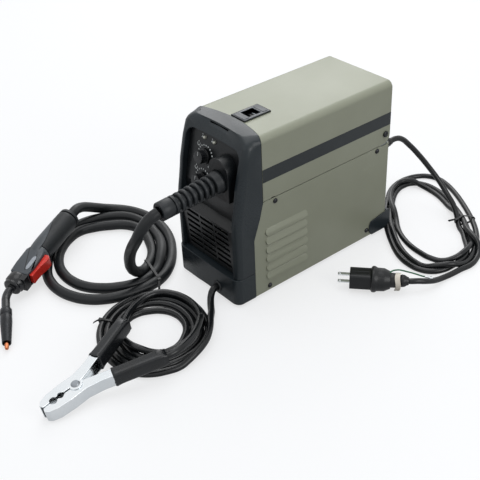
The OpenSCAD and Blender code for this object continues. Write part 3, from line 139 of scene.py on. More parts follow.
add(tree, "ShaderNodeOutputMaterial", {"Surface": both.outputs[0]})
floor_mesh.materials.append(floor_paint)


# Torch hose. A rubber sheath over the wire liner, the current braid and the trigger leads. It hangs
# from the boot to the floor, lies there in a little over two and a quarter turns, and rises to the
# torch.
def surface(name, light, dark, worn, cloud, grain, rough, relief, wear=0.3, metallic=0.0,
            stretch=(1, 1, 1), coat=0.0, specular=0.5):
    """A material that drifts between two shades over `cloud` mm. Its grain, `grain` mm wide and
    `relief` mm high, takes the roughness between the two values of `rough`; `stretch` draws the
    grain out. Rubbed patches turn towards the `worn` shade by the share `wear`."""
    material = bpy.data.materials.new(name)
    material.use_nodes = True
    tree = material.node_tree
    shader = tree.nodes["Principled BSDF"]
    place = add(tree, "ShaderNodeTexCoord").outputs["Object"]
    drawn = add(tree, "ShaderNodeMapping", {"Vector": place, "Scale": stretch}).outputs[0]
    drift = add(tree, "ShaderNodeTexNoise", {"Vector": place, "Scale": 1000 / cloud, "Detail": 3})
    speck = add(tree, "ShaderNodeTexNoise", {"Vector": drawn, "Scale": 1000 / grain, "Detail": 2})
    rub = add(tree, "ShaderNodeTexNoise", {"Vector": drawn, "Scale": 3000 / cloud, "Detail": 9,
                                           "Roughness": 0.7})
    spread = add(tree, "ShaderNodeMapRange", {"Value": drift.outputs["Fac"], "From Min": 0.3,
                                              "From Max": 0.7})
    patch = add(tree, "ShaderNodeMapRange", {"Value": rub.outputs["Fac"], "From Min": 0.58,
                                             "From Max": 0.74, "To Max": wear})
    tint = add(tree, "ShaderNodeMix", {"Factor": spread.outputs[0], 6: linear(light),
                                       7: linear(dark)}, data_type="RGBA")
    tint = add(tree, "ShaderNodeMix", {"Factor": patch.outputs[0], 6: tint.outputs[2],
                                       7: linear(worn)}, data_type="RGBA")
    blend = add(tree, "ShaderNodeMix", {"Factor": 0.5, 2: drift.outputs["Fac"],
                                        3: speck.outputs["Fac"]})
    sheen = add(tree, "ShaderNodeMapRange", {"Value": blend.outputs[0], "From Min": 0.35,
                                             "From Max": 0.65, "To Min": rough[0],
                                             "To Max": rough[1]})
    sheen = add(tree, "ShaderNodeMath", {0: patch.outputs[0], 1: 0.3, 2: sheen.outputs[0]},
                operation="MULTIPLY_ADD", use_clamp=True)
    bump = add(tree, "ShaderNodeBump", {"Height": speck.outputs["Fac"], "Distance": relief * mm})
    tree.links.new(tint.outputs[2], shader.inputs["Base Color"])
    tree.links.new(sheen.outputs[0], shader.inputs["Roughness"])
    tree.links.new(bump.outputs[0], shader.inputs["Normal"])
    shader.inputs["Metallic"].default_value = metallic
    shader.inputs["Coat Weight"].default_value = coat
    shader.inputs["Specular IOR Level"].default_value = specular
    return material


def piece(name, data, body, replaced, material):
    """Puts a mesh or curve in the scene as a piece of the object."""
    made = bpy.data.objects.new(name, data)
    bpy.context.scene.collection.objects.link(made)
    data.materials.append(material)
    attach(made, body)
    if replaced:
        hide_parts(*replaced)
    return made


def round_cord(name, route, diameter):
    """A curve through points in mm, with a round section."""
    curve = bpy.data.curves.new(name, "CURVE")
    curve.dimensions = "3D"
    curve.bevel_depth = diameter / 2 * mm
    curve.bevel_resolution = 5
    curve.resolution_u = 6
    curve.use_fill_caps = True
    spline = curve.splines.new("BEZIER")
    spline.bezier_points.add(len(route) - 1)
    for knot, place in zip(spline.bezier_points, route):
        knot.co = Vector(place) * mm
        knot.handle_left_type = knot.handle_right_type = "AUTO"
    return curve


# faces that meet at more than this, in degrees, have a sharp edge between them
crease = 35


def lofted(name, rings, body, replaced, material, width=0.0, loop=False, sharp=crease):
    """A piece skinned over rings of points in mm; the end rings are capped, or joined in a loop."""
    bm = bmesh.new()
    rows = [[bm.verts.new(Vector(p) * mm) for p in ring] for ring in rings]
    count = len(rows[0])
    for low, high in list(zip(rows, rows[1:])) + ([(rows[-1], rows[0])] if loop else []):
        for k in range(count):
            n = (k + 1) % count
            bm.faces.new((low[k], low[n], high[n], high[k]))
    if not loop:
        bm.faces.new(rows[0][::-1])
        bm.faces.new(rows[-1])
    bmesh.ops.recalc_face_normals(bm, faces=bm.faces)
    mesh = bpy.data.meshes.new(name)
    bm.to_mesh(mesh)
    bm.free()
    made = piece(name, mesh, body, replaced, material)
    if width:
        rounding = made.modifiers.new("rounding", "BEVEL")
        rounding.width = width * mm
        rounding.segments = 2
        rounding.angle_limit = math.radians(sharp)
        rounding.harden_normals = True
    mesh.shade_smooth()
    mesh.set_sharp_from_angle(angle=math.radians(sharp))
    return made


def bar(x, y, w, h):
    return [(x - w / 2, y - h / 2), (x + w / 2, y - h / 2), (x + w / 2, y + h / 2),
            (x - w / 2, y + h / 2)]


def cable_tie(name, route, diameter, start, end, tail):
    """A nylon tie drawn round the turns that cross the upright plane from start to end, in mm on
    the floor. Its head sits high on the side towards start, and its tail goes off by the given
    offset."""
    slack, lowest, half, thick, tail_half = 0.4, 0.7, 1.8, 1.1, 1.7
    start, end = Vector((*start, 0)), Vector((*end, 0))
    span = (end - start).length
    along = (end - start) / span
    side = along.cross(Vector((0, 0, 1)))
    reach = diameter / 2 + slack
    spots = []
    for a, b in zip(route, route[1:]):
        a, b = Vector(a) - start, Vector(b) - start
        if (a.dot(side) > 0) != (b.dot(side) > 0):
            hit = a.lerp(b, a.dot(side) / (a.dot(side) - b.dot(side)))
            if 0 < hit.dot(along) < span:
                spots += [(hit.dot(along) + reach * math.cos(math.tau * k / 20),
                           max(lowest, hit.z + reach * math.sin(math.tau * k / 20)))
                          for k in range(20)]
    hull = [Vector(spots[k]) for k in geometry.convex_hull_2d(spots)]
    middle = sum(hull, Vector((0, 0))) / len(hull)
    rings = []
    for spot in hull:
        out = (spot - middle).normalized()
        rings.append([start + along * (spot + out * t).x + Vector((0, 0, (spot + out * t).y))
                      + side * w for t, w in ((0, -half), (thick, -half), (thick, half), (0, half))])
    band = lofted(name, rings, "case", (), tie_nylon, loop=True)
    near = min(hull, key=lambda spot: spot.x - 0.6 * spot.y)
    foot = start + along * near.x + Vector((0, 0, near.y))
    head = [[foot + along * x + side * y + Vector((0, 0, z)) for x, y in bar(0, 0, 5.2, 5.4)]
            for z in (-1.4, 2.8)]
    cube = lofted(name + "_head", head, "case", (), tie_nylon, width=0.7)
    # the tail droops towards its tip
    tip = Vector(tail)
    strip = [[foot + tip * t + Vector((0, 0, 1 - 2.2 * t * t)) + side * w + Vector((0, 0, h))
              for w, h in ((-tail_half, 0), (tail_half, 0), (tail_half, thick), (-tail_half, thick))]
             for t in (0, 0.2, 0.4, 0.6, 0.8, 1)]
    return band, cube, lofted(name + "_tail", strip, "case", (), tie_nylon)


# moulded nylon 66: black, waxy, with fine teeth that dull it
tie_nylon = surface("tie_nylon", "#151718", "#0F1011", "#303335", 15, 0.5, (0.26, 0.4), 0.03,
                    specular=0.35)
# The three cord routes are points in mm along the cord's middle. Another program settled them
# beforehand: it pushed crossing turns apart, smoothed them and kept a point every 25 or 19 mm; a few
# at the ends were then set one by one.
hose_route = [
    (28, -240, 184), (26, -252.5, 179), (22, -263, 167), (13.8, -268.8, 148), (-5.7, -266.9, 122),
    (-21.7, -262.1, 99), (-38.2, -253.6, 76), (-55.4, -242.8, 54), (-70.9, -230.2, 34),
    (-82.2, -216.6, 18.5), (-90.9, -200.9, 10), (-105, -180.5, 8), (-123.4, -164, 8),
    (-145.5, -152.8, 8), (-169.1, -145.2, 8), (-193.7, -143, 8), (-216.1, -152.9, 8), (-231.8, -172, 8),
    (-244.1, -193.5, 8), (-250.5, -217.3, 8), (-243.5, -240.9, 8), (-229.8, -261.5, 8),
    (-211.5, -278.2, 8), (-189.7, -290.1, 8), (-165.7, -296.1, 8), (-141, -295.6, 8),
    (-117.5, -287.9, 8), (-97.9, -272.8, 8), (-83.1, -253, 8), (-73.4, -230.2, 8), (-71.6, -205.7, 8),
    (-82.1, -183.4, 8), (-98.3, -165.2, 12.5), (-117.7, -149.9, 14), (-139.4, -138.3, 11.4),
    (-162.6, -130.4, 8), (-187.1, -126.5, 8), (-211.8, -128.4, 8), (-234.8, -137.1, 8),
    (-251.9, -154.9, 8), (-263.2, -177, 8), (-267.9, -201.2, 8), (-265.8, -225.9, 8),
    (-257.5, -249.2, 8), (-243.9, -269.9, 8), (-226.1, -287.2, 8), (-205.8, -301.4, 8),
    (-184.4, -314, 8), (-160.6, -320.9, 8), (-135.9, -321.4, 8), (-112, -315.1, 8), (-90.6, -302.7, 8),
    (-73.9, -284.4, 8), (-62.9, -262.2, 8), (-56.8, -238.2, 8), (-55, -213.4, 8), (-60.2, -189.3, 8),
    (-73.6, -168.5, 8), (-91.2, -151, 8), (-111.2, -136.4, 8), (-132.8, -124.1, 8), (-156, -115.4, 8),
    (-180.4, -110.9, 8), (-205.2, -111, 8), (-229.4, -116.3, 8), (-253, -127.5, 8),
    (-264.5, -141, 10.5), (-270, -156.5, 15.8), (-270, -172, 24), (-267, -186.5, 33),
    (-262.5, -201, 41), (-257, -213.3, 45), (-251.5, -223.2, 45), (-246.2, -233.6, 43.2),
]
hose_diameter = 16
# natural-rubber sheath, extruded and vulcanised under talc: a deep satin with a fine dull bloom
hose_rubber = surface("vulcanised_rubber", "#1A1D1F", "#121416", "#35383A", 60, 1.2, (0.30, 0.46),
                      0.05, wear=0.25, specular=0.35)
hose = piece("torch_hose_sheath", round_cord("torch_hose_sheath", hose_route, hose_diameter),
             "case", ("torch_hose", "torch_hose_coil"), hose_rubber)
hose_tie = cable_tie("hose_tie", hose_route, hose_diameter, (-42, -204), (-112, -187), (12, -9, -5))

# Earth lead. One copper core in a soft vinyl sheath, coiled on the floor in loose turns between the
# front foot and the clamp.
# settled beforehand by the same program, a point every 19 mm
lead_route = [
    (24, -150, 18), (24, -156.5, 17.8), (25.4, -162.5, 15.4), (29.2, -168.3, 11), (35.5, -174, 7.4),
    (43.5, -179.8, 5.8), (52.5, -186, 7), (62, -194, 10.5), (71.5, -202.2, 13.4), (81, -210, 14.4),
    (90.5, -219, 14.6), (99.5, -230, 13.8), (106.3, -243, 12.6), (110.3, -256.5, 10.6),
    (112.3, -270.5, 7.6), (112.9, -285.4, 5), (108.1, -303.7, 5), (99.5, -320.5, 5),
    (86.3, -333.9, 5), (69.6, -342.6, 5), (51.1, -346.2, 5), (32.2, -345.9, 5), (13.7, -342.3, 5),
    (-3.8, -335.2, 5), (-19.6, -324.8, 5), (-32.5, -311.1, 5), (-42.2, -294.8, 5), (-48, -276.9, 5),
    (-49.5, -258.1, 5), (-46.6, -239.4, 5), (-38.5, -222.5, 5), (-25.3, -209.1, 5), (-8.6, -200.1, 5),
    (9.6, -195.1, 5), (28.4, -194.3, 5), (47, -197.5, 5), (64.8, -203.8, 5), (80.6, -214.1, 5),
    (92.8, -228.5, 5), (100.9, -245.5, 5), (103.9, -264.2, 5), (103, -283, 5), (98.3, -301.3, 5),
    (89, -317.7, 5), (74.5, -329.5, 5), (56.6, -335.4, 5), (37.7, -336.3, 5), (19.1, -333.4, 5),
    (1.4, -326.7, 5), (-14.3, -316.3, 5), (-26.7, -302, 5), (-35.3, -285.2, 5), (-39.3, -266.8, 5),
    (-37.9, -248, 5), (-30, -231, 5), (-16.9, -217.4, 5), (-0.4, -208.4, 5), (18.1, -204.6, 5),
    (36.9, -205.4, 5), (55.2, -210.3, 5), (71.5, -219.6, 5.6), (84.3, -233.4, 5), (92, -250.6, 5),
    (93.9, -269.3, 5), (91.8, -288.1, 5), (85.3, -305.8, 5), (72.3, -319.3, 5), (54.6, -325.6, 5),
    (35.8, -326.3, 5), (17.3, -322.5, 5), (0.2, -314.6, 5), (-14.1, -302.2, 5), (-24.1, -286.3, 5),
    (-29, -268.1, 5), (-27.7, -249.3, 5), (-18.7, -232.9, 5), (-4.1, -221, 5), (13.8, -215.2, 5),
    (32.6, -214.9, 5), (51, -219.3, 5), (67.1, -228.9, 5), (79, -243.3, 6.7), (85.7, -260.2, 11.4),
    (86.6, -278.9, 12.4), (80.5, -296.5, 10.1), (68.5, -309.9, 5), (50.8, -316.1, 5), (32, -315.7, 5),
    (13.8, -310.5, 5), (-2, -300.3, 5), (-13.3, -285.3, 5), (-16.1, -266.9, 5), (-9.5, -249.2, 5),
    (2.4, -234.7, 5), (19.2, -226.4, 5), (38, -225.9, 5), (55.6, -232.6, 5), (69, -245.8, 5),
    (78.2, -262.3, 5), (78.8, -280.8, 5), (68.9, -296.5, 7), (55.9, -308.9, 12.8), (38.7, -315.7, 14.9),
    (20, -314, 14.9), (4.4, -303.5, 14.9), (-8.3, -289.5, 14.8), (-18.8, -273.8, 14.8),
    (-25.9, -256.3, 14.7), (-28.7, -237.7, 15), (-24, -219.7, 14.5), (-10.2, -207, 13.6),
    (7.5, -200.7, 13.6), (26.4, -199.6, 13.8), (44.8, -203.5, 14.9), (61.9, -211.4, 16.6),
    (76, -221.5, 30.5), (93, -240, 33), (105, -258, 35.3), (113, -275, 37.3), (116.8, -289, 38.3),
    (117, -299.1, 38.1), (114.2, -308.4, 36.6),
]
lead_diameter = 10
# plasticised vinyl, extruded hot: glossier than the hose, with long soft highlights
lead_vinyl = surface("extruded_vinyl", "#17191B", "#0E1011", "#34373A", 45, 0.9, (0.16, 0.32),
                     0.03, wear=0.2, specular=0.4)
lead = piece("earth_lead_sheath", round_cord("earth_lead_sheath", lead_route, lead_diameter),
             "case", ("earth_lead", "earth_lead_coil"), lead_vinyl)
lead_tie = cable_tie("lead_tie", lead_route, lead_diameter, (-43, -318), (-17, -301), (-5, -9, -2))

# Mains cord. Three cores in a round vinyl sheath; it arcs from the gland to the floor, lies in loose
# crossing turns behind the machine and to its right, and ends at the plug.
# settled beforehand by the same program, a point every 19 mm
mains_route = [
    (50, 172, 142), (50, 184, 142), (51, 197, 137), (55, 211, 123), (63, 226, 103), (75, 240, 79),
    (90, 249, 57), (106, 252, 38), (120.1, 251.2, 25.6), (133.5, 244.8, 14.4), (146.5, 235.8, 4.5),
    (162.5, 225.6, 4.3), (176.7, 212.9, 4.3), (190.8, 200.1, 4.3), (201.8, 184.7, 4.3),
    (206.5, 166.3, 4.3), (207, 147.3, 4.3), (204.5, 128.5, 4.3), (194.8, 112.4, 4.3),
    (178.2, 103.5, 4.3), (159.3, 102.5, 4.3), (140.7, 106.7, 4.3), (123.5, 114.7, 4.3),
    (107.3, 124.8, 4.3), (91.6, 135.6, 4.3), (76.5, 147.2, 4.3), (61.9, 159.4, 4.3), (48.5, 172.9, 4.3),
    (36.3, 187.5, 4.3), (24.6, 202.5, 4.3), (12.9, 217.6, 4.3), (2.3, 233.4, 4.3), (-5.2, 250.8, 4.3),
    (-8.3, 269.6, 4.3), (-7.1, 288.5, 4.3), (-0.3, 306.2, 4.3), (12.9, 319.6, 4.3), (31.2, 324.1, 4.3),
    (49.9, 320.8, 4.3), (67.7, 314.1, 4.3), (84.9, 305.8, 4.3), (101.4, 296.4, 4.3),
    (117.7, 286.4, 4.3), (133.5, 275.9, 4.3), (148.9, 264.7, 4.3), (163.7, 252.7, 4.3),
    (177.4, 239.5, 4.3), (189.7, 225, 4.3), (199.3, 208.5, 4.3), (207.9, 191.6, 4.3),
    (214.2, 173.6, 4.3), (214.9, 155.1, 7.3), (208.6, 138.1, 12.5), (195.9, 124.6, 9.6),
    (180.3, 115.6, 4.3), (161.5, 113.7, 4.3), (142.8, 117.5, 4.3), (125.2, 124.5, 4.3),
    (108.7, 134.1, 4.3), (93.2, 145.1, 4.3), (78.1, 156.8, 4.3), (63.8, 169.3, 4.3), (50.8, 183.2, 4.3),
    (38.9, 198.1, 4.3), (27.2, 213.1, 4.3), (16.1, 228.6, 4.3), (7.8, 245.7, 4.3), (4.3, 264.3, 4.3),
    (9.6, 282.3, 4.3), (25, 292.9, 4.3), (43.8, 294.9, 4.3), (62.6, 292, 4.3), (80.7, 286, 4.3),
    (98.1, 278.4, 4.3), (115.1, 269.8, 4.3), (131.6, 260.3, 4.3), (147.3, 249.5, 4.3),
    (162.2, 237.6, 4.3), (176.5, 225.1, 4.3), (189.1, 211.6, 7.8), (198.4, 195.8, 12.5),
    (202.3, 177.3, 12.7), (199.7, 159.1, 8.6), (188.4, 144.9, 4.3), (171, 137.6, 4.3),
    (152, 137.2, 4.3), (133.2, 139.7, 4.3), (115, 145.3, 4.3), (97.9, 153.6, 4.3), (82.3, 164.5, 4.3),
    (68.1, 177, 5.8), (53.6, 188.2, 10.9), (38.1, 199.1, 12.8), (23.8, 211.6, 12), (11.9, 226.4, 11.6),
    (3, 243.2, 11), (-0.2, 261.7, 11.7), (9.6, 277.3, 12.3), (26.1, 284.5, 6.6), (44.7, 286.1, 4.3),
    (63.4, 282.9, 4.3), (81.4, 276.5, 4.3), (98.7, 268.7, 4.9), (115.8, 261.1, 8.6),
    (133.1, 253.8, 11.4), (149, 243.3, 11.8), (163.7, 231.2, 11.9), (180.4, 222.3, 13.1),
    (197.5, 214, 13), (211.3, 202.4, 7.3), (219.6, 185.9, 4.3), (223.5, 167.3, 4.3),
    (221.1, 148.5, 4.3), (219.8, 131, 4.4), (218, 113.5, 5.3), (217.6, 96, 9), (216.6, 84.5, 13),
    (214, 74, 16.6), (210.2, 66, 18.8), (206.8, 60.6, 19.4), (202.3, 55.4, 19.5),
]
mains_diameter = 8.6
mains = piece("mains_cord_sheath", round_cord("mains_cord_sheath", mains_route, mains_diameter),
              "case", ("mains_cord", "mains_cord_coil"), lead_vinyl)
mains_tie = cable_tie("mains_tie", mains_route, mains_diameter, (137, 228), (149, 274), (-9, -7, -2))


# Painted sheets. The hood, the two lower side panels and the rear panel are pressed from 1.2 mm
# steel and powder coated in olive grey. The hood turns on two screws at its rear corners.
def softened(node, width, body, material, merge=0.02, segments=2):
    """Replaces a CAD node by a copy with its flat faces merged and its sharp edges rounded."""
    flat, straight = math.radians(1), math.radians(150)
    bm = bmesh.new()
    bm.from_mesh(bpy.data.objects[node].data)
    bmesh.ops.remove_doubles(bm, verts=bm.verts, dist=merge * mm)
    bmesh.ops.dissolve_degenerate(bm, edges=bm.edges, dist=merge * mm)
    bmesh.ops.dissolve_limit(bm, angle_limit=flat, verts=bm.verts, edges=bm.edges)
    weight = bm.edges.layers.float.new("bevel_weight_edge")
    sharp = {edge for edge in bm.edges
             if len(edge.link_faces) == 2 and edge.calc_face_angle(0) > math.radians(crease)}
    room, joins = {edge: width * mm for edge in sharp}, []
    for edge in sharp:
        for vert in edge.verts:
            along = edge.other_vert(vert).co - vert.co
            for other in set(vert.link_edges) - {edge}:
                side = other.other_vert(vert).co - vert.co
                turn = along.angle(side)
                if other in sharp and turn > straight:
                    joins.append((edge, other))
                elif other in sharp:
                    room[edge] = min(room[edge], along.length / 3, side.length * math.sin(turn) / 2)
                elif set(other.link_faces) & set(edge.link_faces):
                    # a seam that runs off at a low angle would carry the rounding far along it
                    room[edge] = min(room[edge], 0.8 * side.length * math.sin(turn))
    # an edge that runs on through several pieces keeps one width
    narrowed = True
    while narrowed:
        narrowed = False
        for one, other in joins:
            if room[one] > room[other]:
                room[one], narrowed = room[other], True
    for edge in sharp:
        edge[weight] = room[edge] / (width * mm)
    mesh = bpy.data.meshes.new(node + "_body")
    bm.to_mesh(mesh)
    bm.free()
    made = piece(node + "_body", mesh, body, (node,), material)
    made.matrix_world = bpy.data.objects[node].matrix_world
    rounding = made.modifiers.new("rounding", "BEVEL")
    rounding.width = width * mm
    rounding.segments = segments
    rounding.limit_method = "WEIGHT"
    rounding.use_clamp_overlap = False
    rounding.harden_normals = True
    mesh.shade_smooth()
    mesh.set_sharp_from_angle(angle=math.radians(crease))
    return made


# polyester powder coat, baked: a low gloss over a fine orange peel, with a few rubbed spots
powder = surface("olive_powder_coat", "#9EA08C", "#959783", "#ACAE9C", 140, 1.1, (0.34, 0.46), 0.02,
                 wear=0.25)
for node, body in (("hood", "hood_body"), ("right_side_panel", "case"), ("left_side_panel", "case"),
                   ("rear_panel", "case")):
    softened(node, 0.35, body, powder)


# Stripe. A dark grey film is laid along each side of the hood and cut flush with its edges.
stripe_front, stripe_rear, stripe_low, stripe_high = -97.7, 149.7, 186, 206
hood_half, film = 68.02, 0.14
# calendered vinyl film: an even dark grey with a soft shine
stripe_film = surface("vinyl_film", "#2B3032", "#262B2D", "#43484A", 90, 1.5, (0.30, 0.42), 0.01,
                      specular=0.35)
for side, tag in ((1, "right"), (-1, "left")):
    outline = [(stripe_front, stripe_low), (stripe_rear, stripe_low), (stripe_rear, stripe_high),
               (stripe_front, stripe_high)]
    lofted("stripe_" + tag, [[(side * (hood_half + out), y, z) for y, z in outline]
                             for out in (0, film)],
           "hood_body", (), stripe_film)


# Tray and deck. The base tray and the deck between the two bays are folded from zinc-plated sheet with
# a cloudy sheen; rubber pads under the feet carry the weight.
def dressed(material, *nodes):
    """Gives CAD nodes that stay as they are their material."""
    for node in nodes:
        bpy.data.objects[node].material_slots[0].material = material


# electroplated zinc, blue passivated: a bluish grey with a dull metal sheen and folding marks
zinc = surface("zinc_plate", "#A9AEB3", "#8E9398", "#C4C6C4", 25, 4, (0.28, 0.5), 0.02, wear=0.4,
               metallic=1)
dressed(zinc, "base_tray", "mid_deck", "feeder_frame", "spool_bracket")
# moulded rubber, as it leaves the tool: dull, with dust in its grain
rubber = surface("moulded_rubber", "#202427", "#171A1C", "#3E4144", 40, 0.9, (0.36, 0.52), 0.06,
                 wear=0.3, specular=0.4)
dressed(rubber, "rubber_feet")

# Moulded front. The bezel frames the controls, the front foot closes it below, and a second foot
# wraps the rear corners; all are injection moulded in one dark blue-grey.
# spark-eroded ABS: a fine even grain that breaks the highlights
bezel_plastic = surface("textured_abs", "#293034", "#22292C", "#40464A", 90, 0.8, (0.24, 0.38), 0.05,
                        wear=0.2, specular=0.35)
softened("front_bezel", 1.8, "case", bezel_plastic, merge=0.2, segments=3)
softened("front_foot", 0.8, "case", bezel_plastic, merge=0.2)
softened("rear_foot", 1.0, "case", bezel_plastic, merge=0.2)

# Control panel and grille. One leaning panel carries the knobs and lamps; the slotted grille below it
# lets the fan's air out. Both are moulded in black and clipped into the bezel.
# polished ABS: near black, with clear but soft reflections
panel_plastic = surface("black_abs", "#15181A", "#0F1112", "#33373A", 60, 0.7, (0.26, 0.4), 0.03,
                        wear=0.25, specular=0.4)
softened("control_panel", 0.5, "case", panel_plastic)
softened("front_grille", 0.5, "case", panel_plastic)
lean = math.radians(12.3)
# the panel's face is at this y where z is this high
face_y, face_z = -135, 160


def on_panel(x, z):
    """The place on the panel's face at x and z, in mm, with +Z out of the panel."""
    return (Matrix.Translation((x, face_y + (z - face_z) * math.tan(lean), z))
            @ Matrix.Rotation(math.pi / 2 - lean, 4, "X"))


# Printing. Scale dots and a ring sign by each knob, and a triangle with a dot over it by each lamp,
# screened in white.
def disc(x, y, r):
    return [(x + r * math.cos(math.tau * k / 12), y + r * math.sin(math.tau * k / 12))
            for k in range(12)]


def ring_sign(x, y, r, first=0, last=360):
    """A thin ring, or a part of one, as a chain of four-sided shapes."""
    half = 0.55
    turns = [math.radians(first + (last - first) * k / 12) for k in range(13)]
    return [[(x + q * math.cos(t), y + q * math.sin(t)) for q, t in
             ((r - half, a), (r + half, a), (r + half, b), (r - half, b))]
            for a, b in zip(turns, turns[1:])]


def printed(name, shapes, body):
    """Thin films of ink, each with the placed frame, in mm, whose XY plane it lies in."""
    ink_low, ink_top = -0.05, 0.12
    bm = bmesh.new()
    for place, outline in shapes:
        low, top = ([bm.verts.new(place @ Vector((x, y, z)) * mm) for x, y in outline]
                    for z in (ink_low, ink_top))
        bm.faces.new(low[::-1])
        bm.faces.new(top)
        for k in range(len(top)):
            bm.faces.new((low[k - 1], low[k], top[k], top[k - 1]))
    mesh = bpy.data.meshes.new(name)
    bm.to_mesh(mesh)
    bm.free()
    return piece(name, mesh, body, (), white_ink)


knob_places = ((-20, 203), (-20, 169))
lamp_places = ((-24, 228.5), (-3, 228.5))
scale_r = 15.6
# screen ink: an off-white, a little thin over the grain
white_ink = surface("screen_ink", "#ECEDE9", "#D8DAD6", "#A4A6A4", 6, 0.5, (0.4, 0.6), 0.01)
marks = []
for spot in knob_places:
    turns = [math.radians(-140 + 280 * k / 16) for k in range(17)]
    shapes = [disc(scale_r * math.sin(a), scale_r * math.cos(a), 0.85 + 0.7 * k / 16)
              for k, a in enumerate(turns)]
    shapes += ring_sign(-16, 13.5, 2.6, 150, 390) + [disc(-16, 16.6, 0.9), bar(13.4, -15.4, 3, 0.9)]
    marks += [(on_panel(*spot), shape) for shape in shapes]
for spot in lamp_places:
    for shape in ([(-7.6, -1.6), (-3.6, -1.6), (-5.6, 1.4)], disc(-5.6, 3, 0.9)):
        marks.append((on_panel(*spot), shape))
printed("panel_print", marks, "case")

# Knobs. Two fluted knobs push onto the shafts of the potentiometers behind the panel.
# glossy moulded thermoset: black, with crisp highlights on the flutes
knob_plastic = surface("black_thermoset", "#1A1C1E", "#121315", "#4A4D50", 20, 0.5, (0.14, 0.26), 0.01,
                       wear=0.3)
softened("knob_voltage", 0.4, "voltage_knob", knob_plastic)
softened("knob_wire_speed", 0.4, "speed_knob", knob_plastic)
# a white line on each knob's face
line_low, line_top = 13.3, 13.68
for name, spot, body in (("voltage", knob_places[0], "voltage_knob"),
                         ("wire_speed", knob_places[1], "speed_knob")):
    lofted("knob_line_" + name, [[on_panel(*spot) @ Vector((x, y, z))
                                  for x, y in bar(0, 5.2, 0.8, 5.4)] for z in (line_low, line_top)],
           body, (), white_ink)

# Control board and lamps. Glass-epoxy board under green resist, behind the panel; two milky lenses
# stand in front of its light-emitting diodes.
# solder resist over copper tracks: green, with lighter tracks and a varnish shine
resist = surface("green_resist", "#2F5F3D", "#265032", "#5E9468", 8, 1.2, (0.16, 0.3), 0.04, wear=0.6,
                 stretch=(1, 0.12, 1), coat=0.3)
dressed(resist, "control_board", "power_board")
# clear acrylic with a milky dome: pale and glossy
acrylic = surface("milky_acrylic", "#E4E2D2", "#CFCDBB", "#F2F1E8", 8, 0.6, (0.06, 0.14), 0.005,
                  coat=0.5)
softened("indicator_lenses", 0.1, "case", acrylic)

# Latch. A stepped plate with a black edge sits over a well in the hood; the black slider in the well
# pushes a tongue under the bezel's rear lip.
# glass-filled nylon: dark grey, slightly rough
latch_nylon = surface("dark_nylon", "#4A4F54", "#40454A", "#72777B", 30, 0.7, (0.3, 0.46), 0.03)
softened("latch_plate", 0.4, "hood_body", latch_nylon)
softened("latch_slider", 0.4, "latch", panel_plastic)
# black gasket edge round the plate, two rough finger pads on it, and a bar across the slider painted light
# grey as a highlight along its ridge
left, right_edge, front, rear, top = -9.3, 19.3, -85.4, -38.6, 254.12
edge = []
for (x, y), (u, v) in zip(((left, front), (right_edge, front), (right_edge, rear), (left, rear)),
                          ((1, 1), (-1, 1), (-1, -1), (1, -1))):
    edge.append([(x, y, top), (x, y, top + 1.9), (x + 0.5 * u, y + 0.5 * v, top + 2.3),
                 (x + 1.1 * u, y + 1.1 * v, top + 2.3), (x + 1.1 * u, y + 1.1 * v, top)])
lofted("latch_edge", edge, "hood_body", (), rubber, loop=True)
pad_nylon = surface("ribbed_nylon", "#3E4247", "#353A3E", "#62676B", 12, 0.6, (0.36, 0.5), 0.05)
for tag, y in (("front", -79.2), ("rear", -45.4)):
    lofted("latch_pad_" + tag, [[(x, y + w, z) for x, w in bar(5, 0, 22, 8.4)]
                                for z in (256.3, 256.9)],
           "hood_body", (), pad_nylon, width=0.25)
# the bar's light grey all over is a painted highlight on the slider's ridge
highlight_bar_nylon = surface("painted_highlight_bar", "#A9ADB1", "#8F9397", "#C9CCCE", 8, 0.5, (0.25, 0.4), 0.02)
lofted("latch_slider_bar", [[(x, y, z) for x, y in bar(5, -59.1, 12.6, 1.5)]
                            for z in (252.7, 254.3)],
       "latch", (), highlight_bar_nylon, width=0.3)

# Screws. Round-head screws hold the side panels to the tray and deck; the rear pair above the seam
# are the hood's pivots. Each head has a cross recess.
# steel, black oxide and oil: a dark brown-black with bare metal at the recess
black_oxide = surface("black_oxide", "#24262A", "#17181A", "#6A6D70", 6, 0.5, (0.22, 0.4), 0.01,
                      wear=0.5, metallic=0.5)
softened("case_screws", 0.25, "case", black_oxide)
recess = surface("recess_shadow", "#0C0D0E", "#070808", "#55585B", 3, 0.4, (0.4, 0.6), 0.01)
panel_head_x, pivot_head_x = 70.32, 70.92
heads = [(y, z, panel_head_x) for y, z in ((-90.4, 13), (108, 17), (-76.8, 150.5), (123.5, 150.5))]
heads.append((139.7, 173.2, pivot_head_x))
slot_depth, slot_length, slot_width = 0.2, 3.0, 0.75
bm = bmesh.new()
for side in (1, -1):
    for y, z, x in heads:
        for turn in (20, 110):
            spin = Matrix.Translation(Vector((side * x, y, z)) * mm) @ Matrix.Rotation(
                math.radians(turn), 4, "X")
            bmesh.ops.create_cube(bm, size=1, matrix=spin @ Matrix.Diagonal(
                (slot_depth * mm, slot_length * mm, slot_width * mm, 1)))
mesh = bpy.data.meshes.new("screw_recesses")
bm.to_mesh(mesh)
bm.free()
piece("screw_recesses", mesh, "case", (), recess)

# Torch outlet. An arched boss on the panel holds the brass outlet tube; a ribbed rubber boot with a
# plain collar keeps the hose from kinking there.
softened("torch_socket", 0.6, "case", panel_plastic)
boot = Matrix.Translation((28, -139, 190)) @ Matrix.Rotation(math.radians(93.4), 4, "X")
boot_root, boot_end, rib_pitch, rib_gap, steps = 14.6, 100.3, 9.3, 4.7, 60
root_r, taper, core_r = 15.2, 0.3, 9.2
bridges, bridge_half = (math.radians(-46), math.radians(134)), math.radians(14)


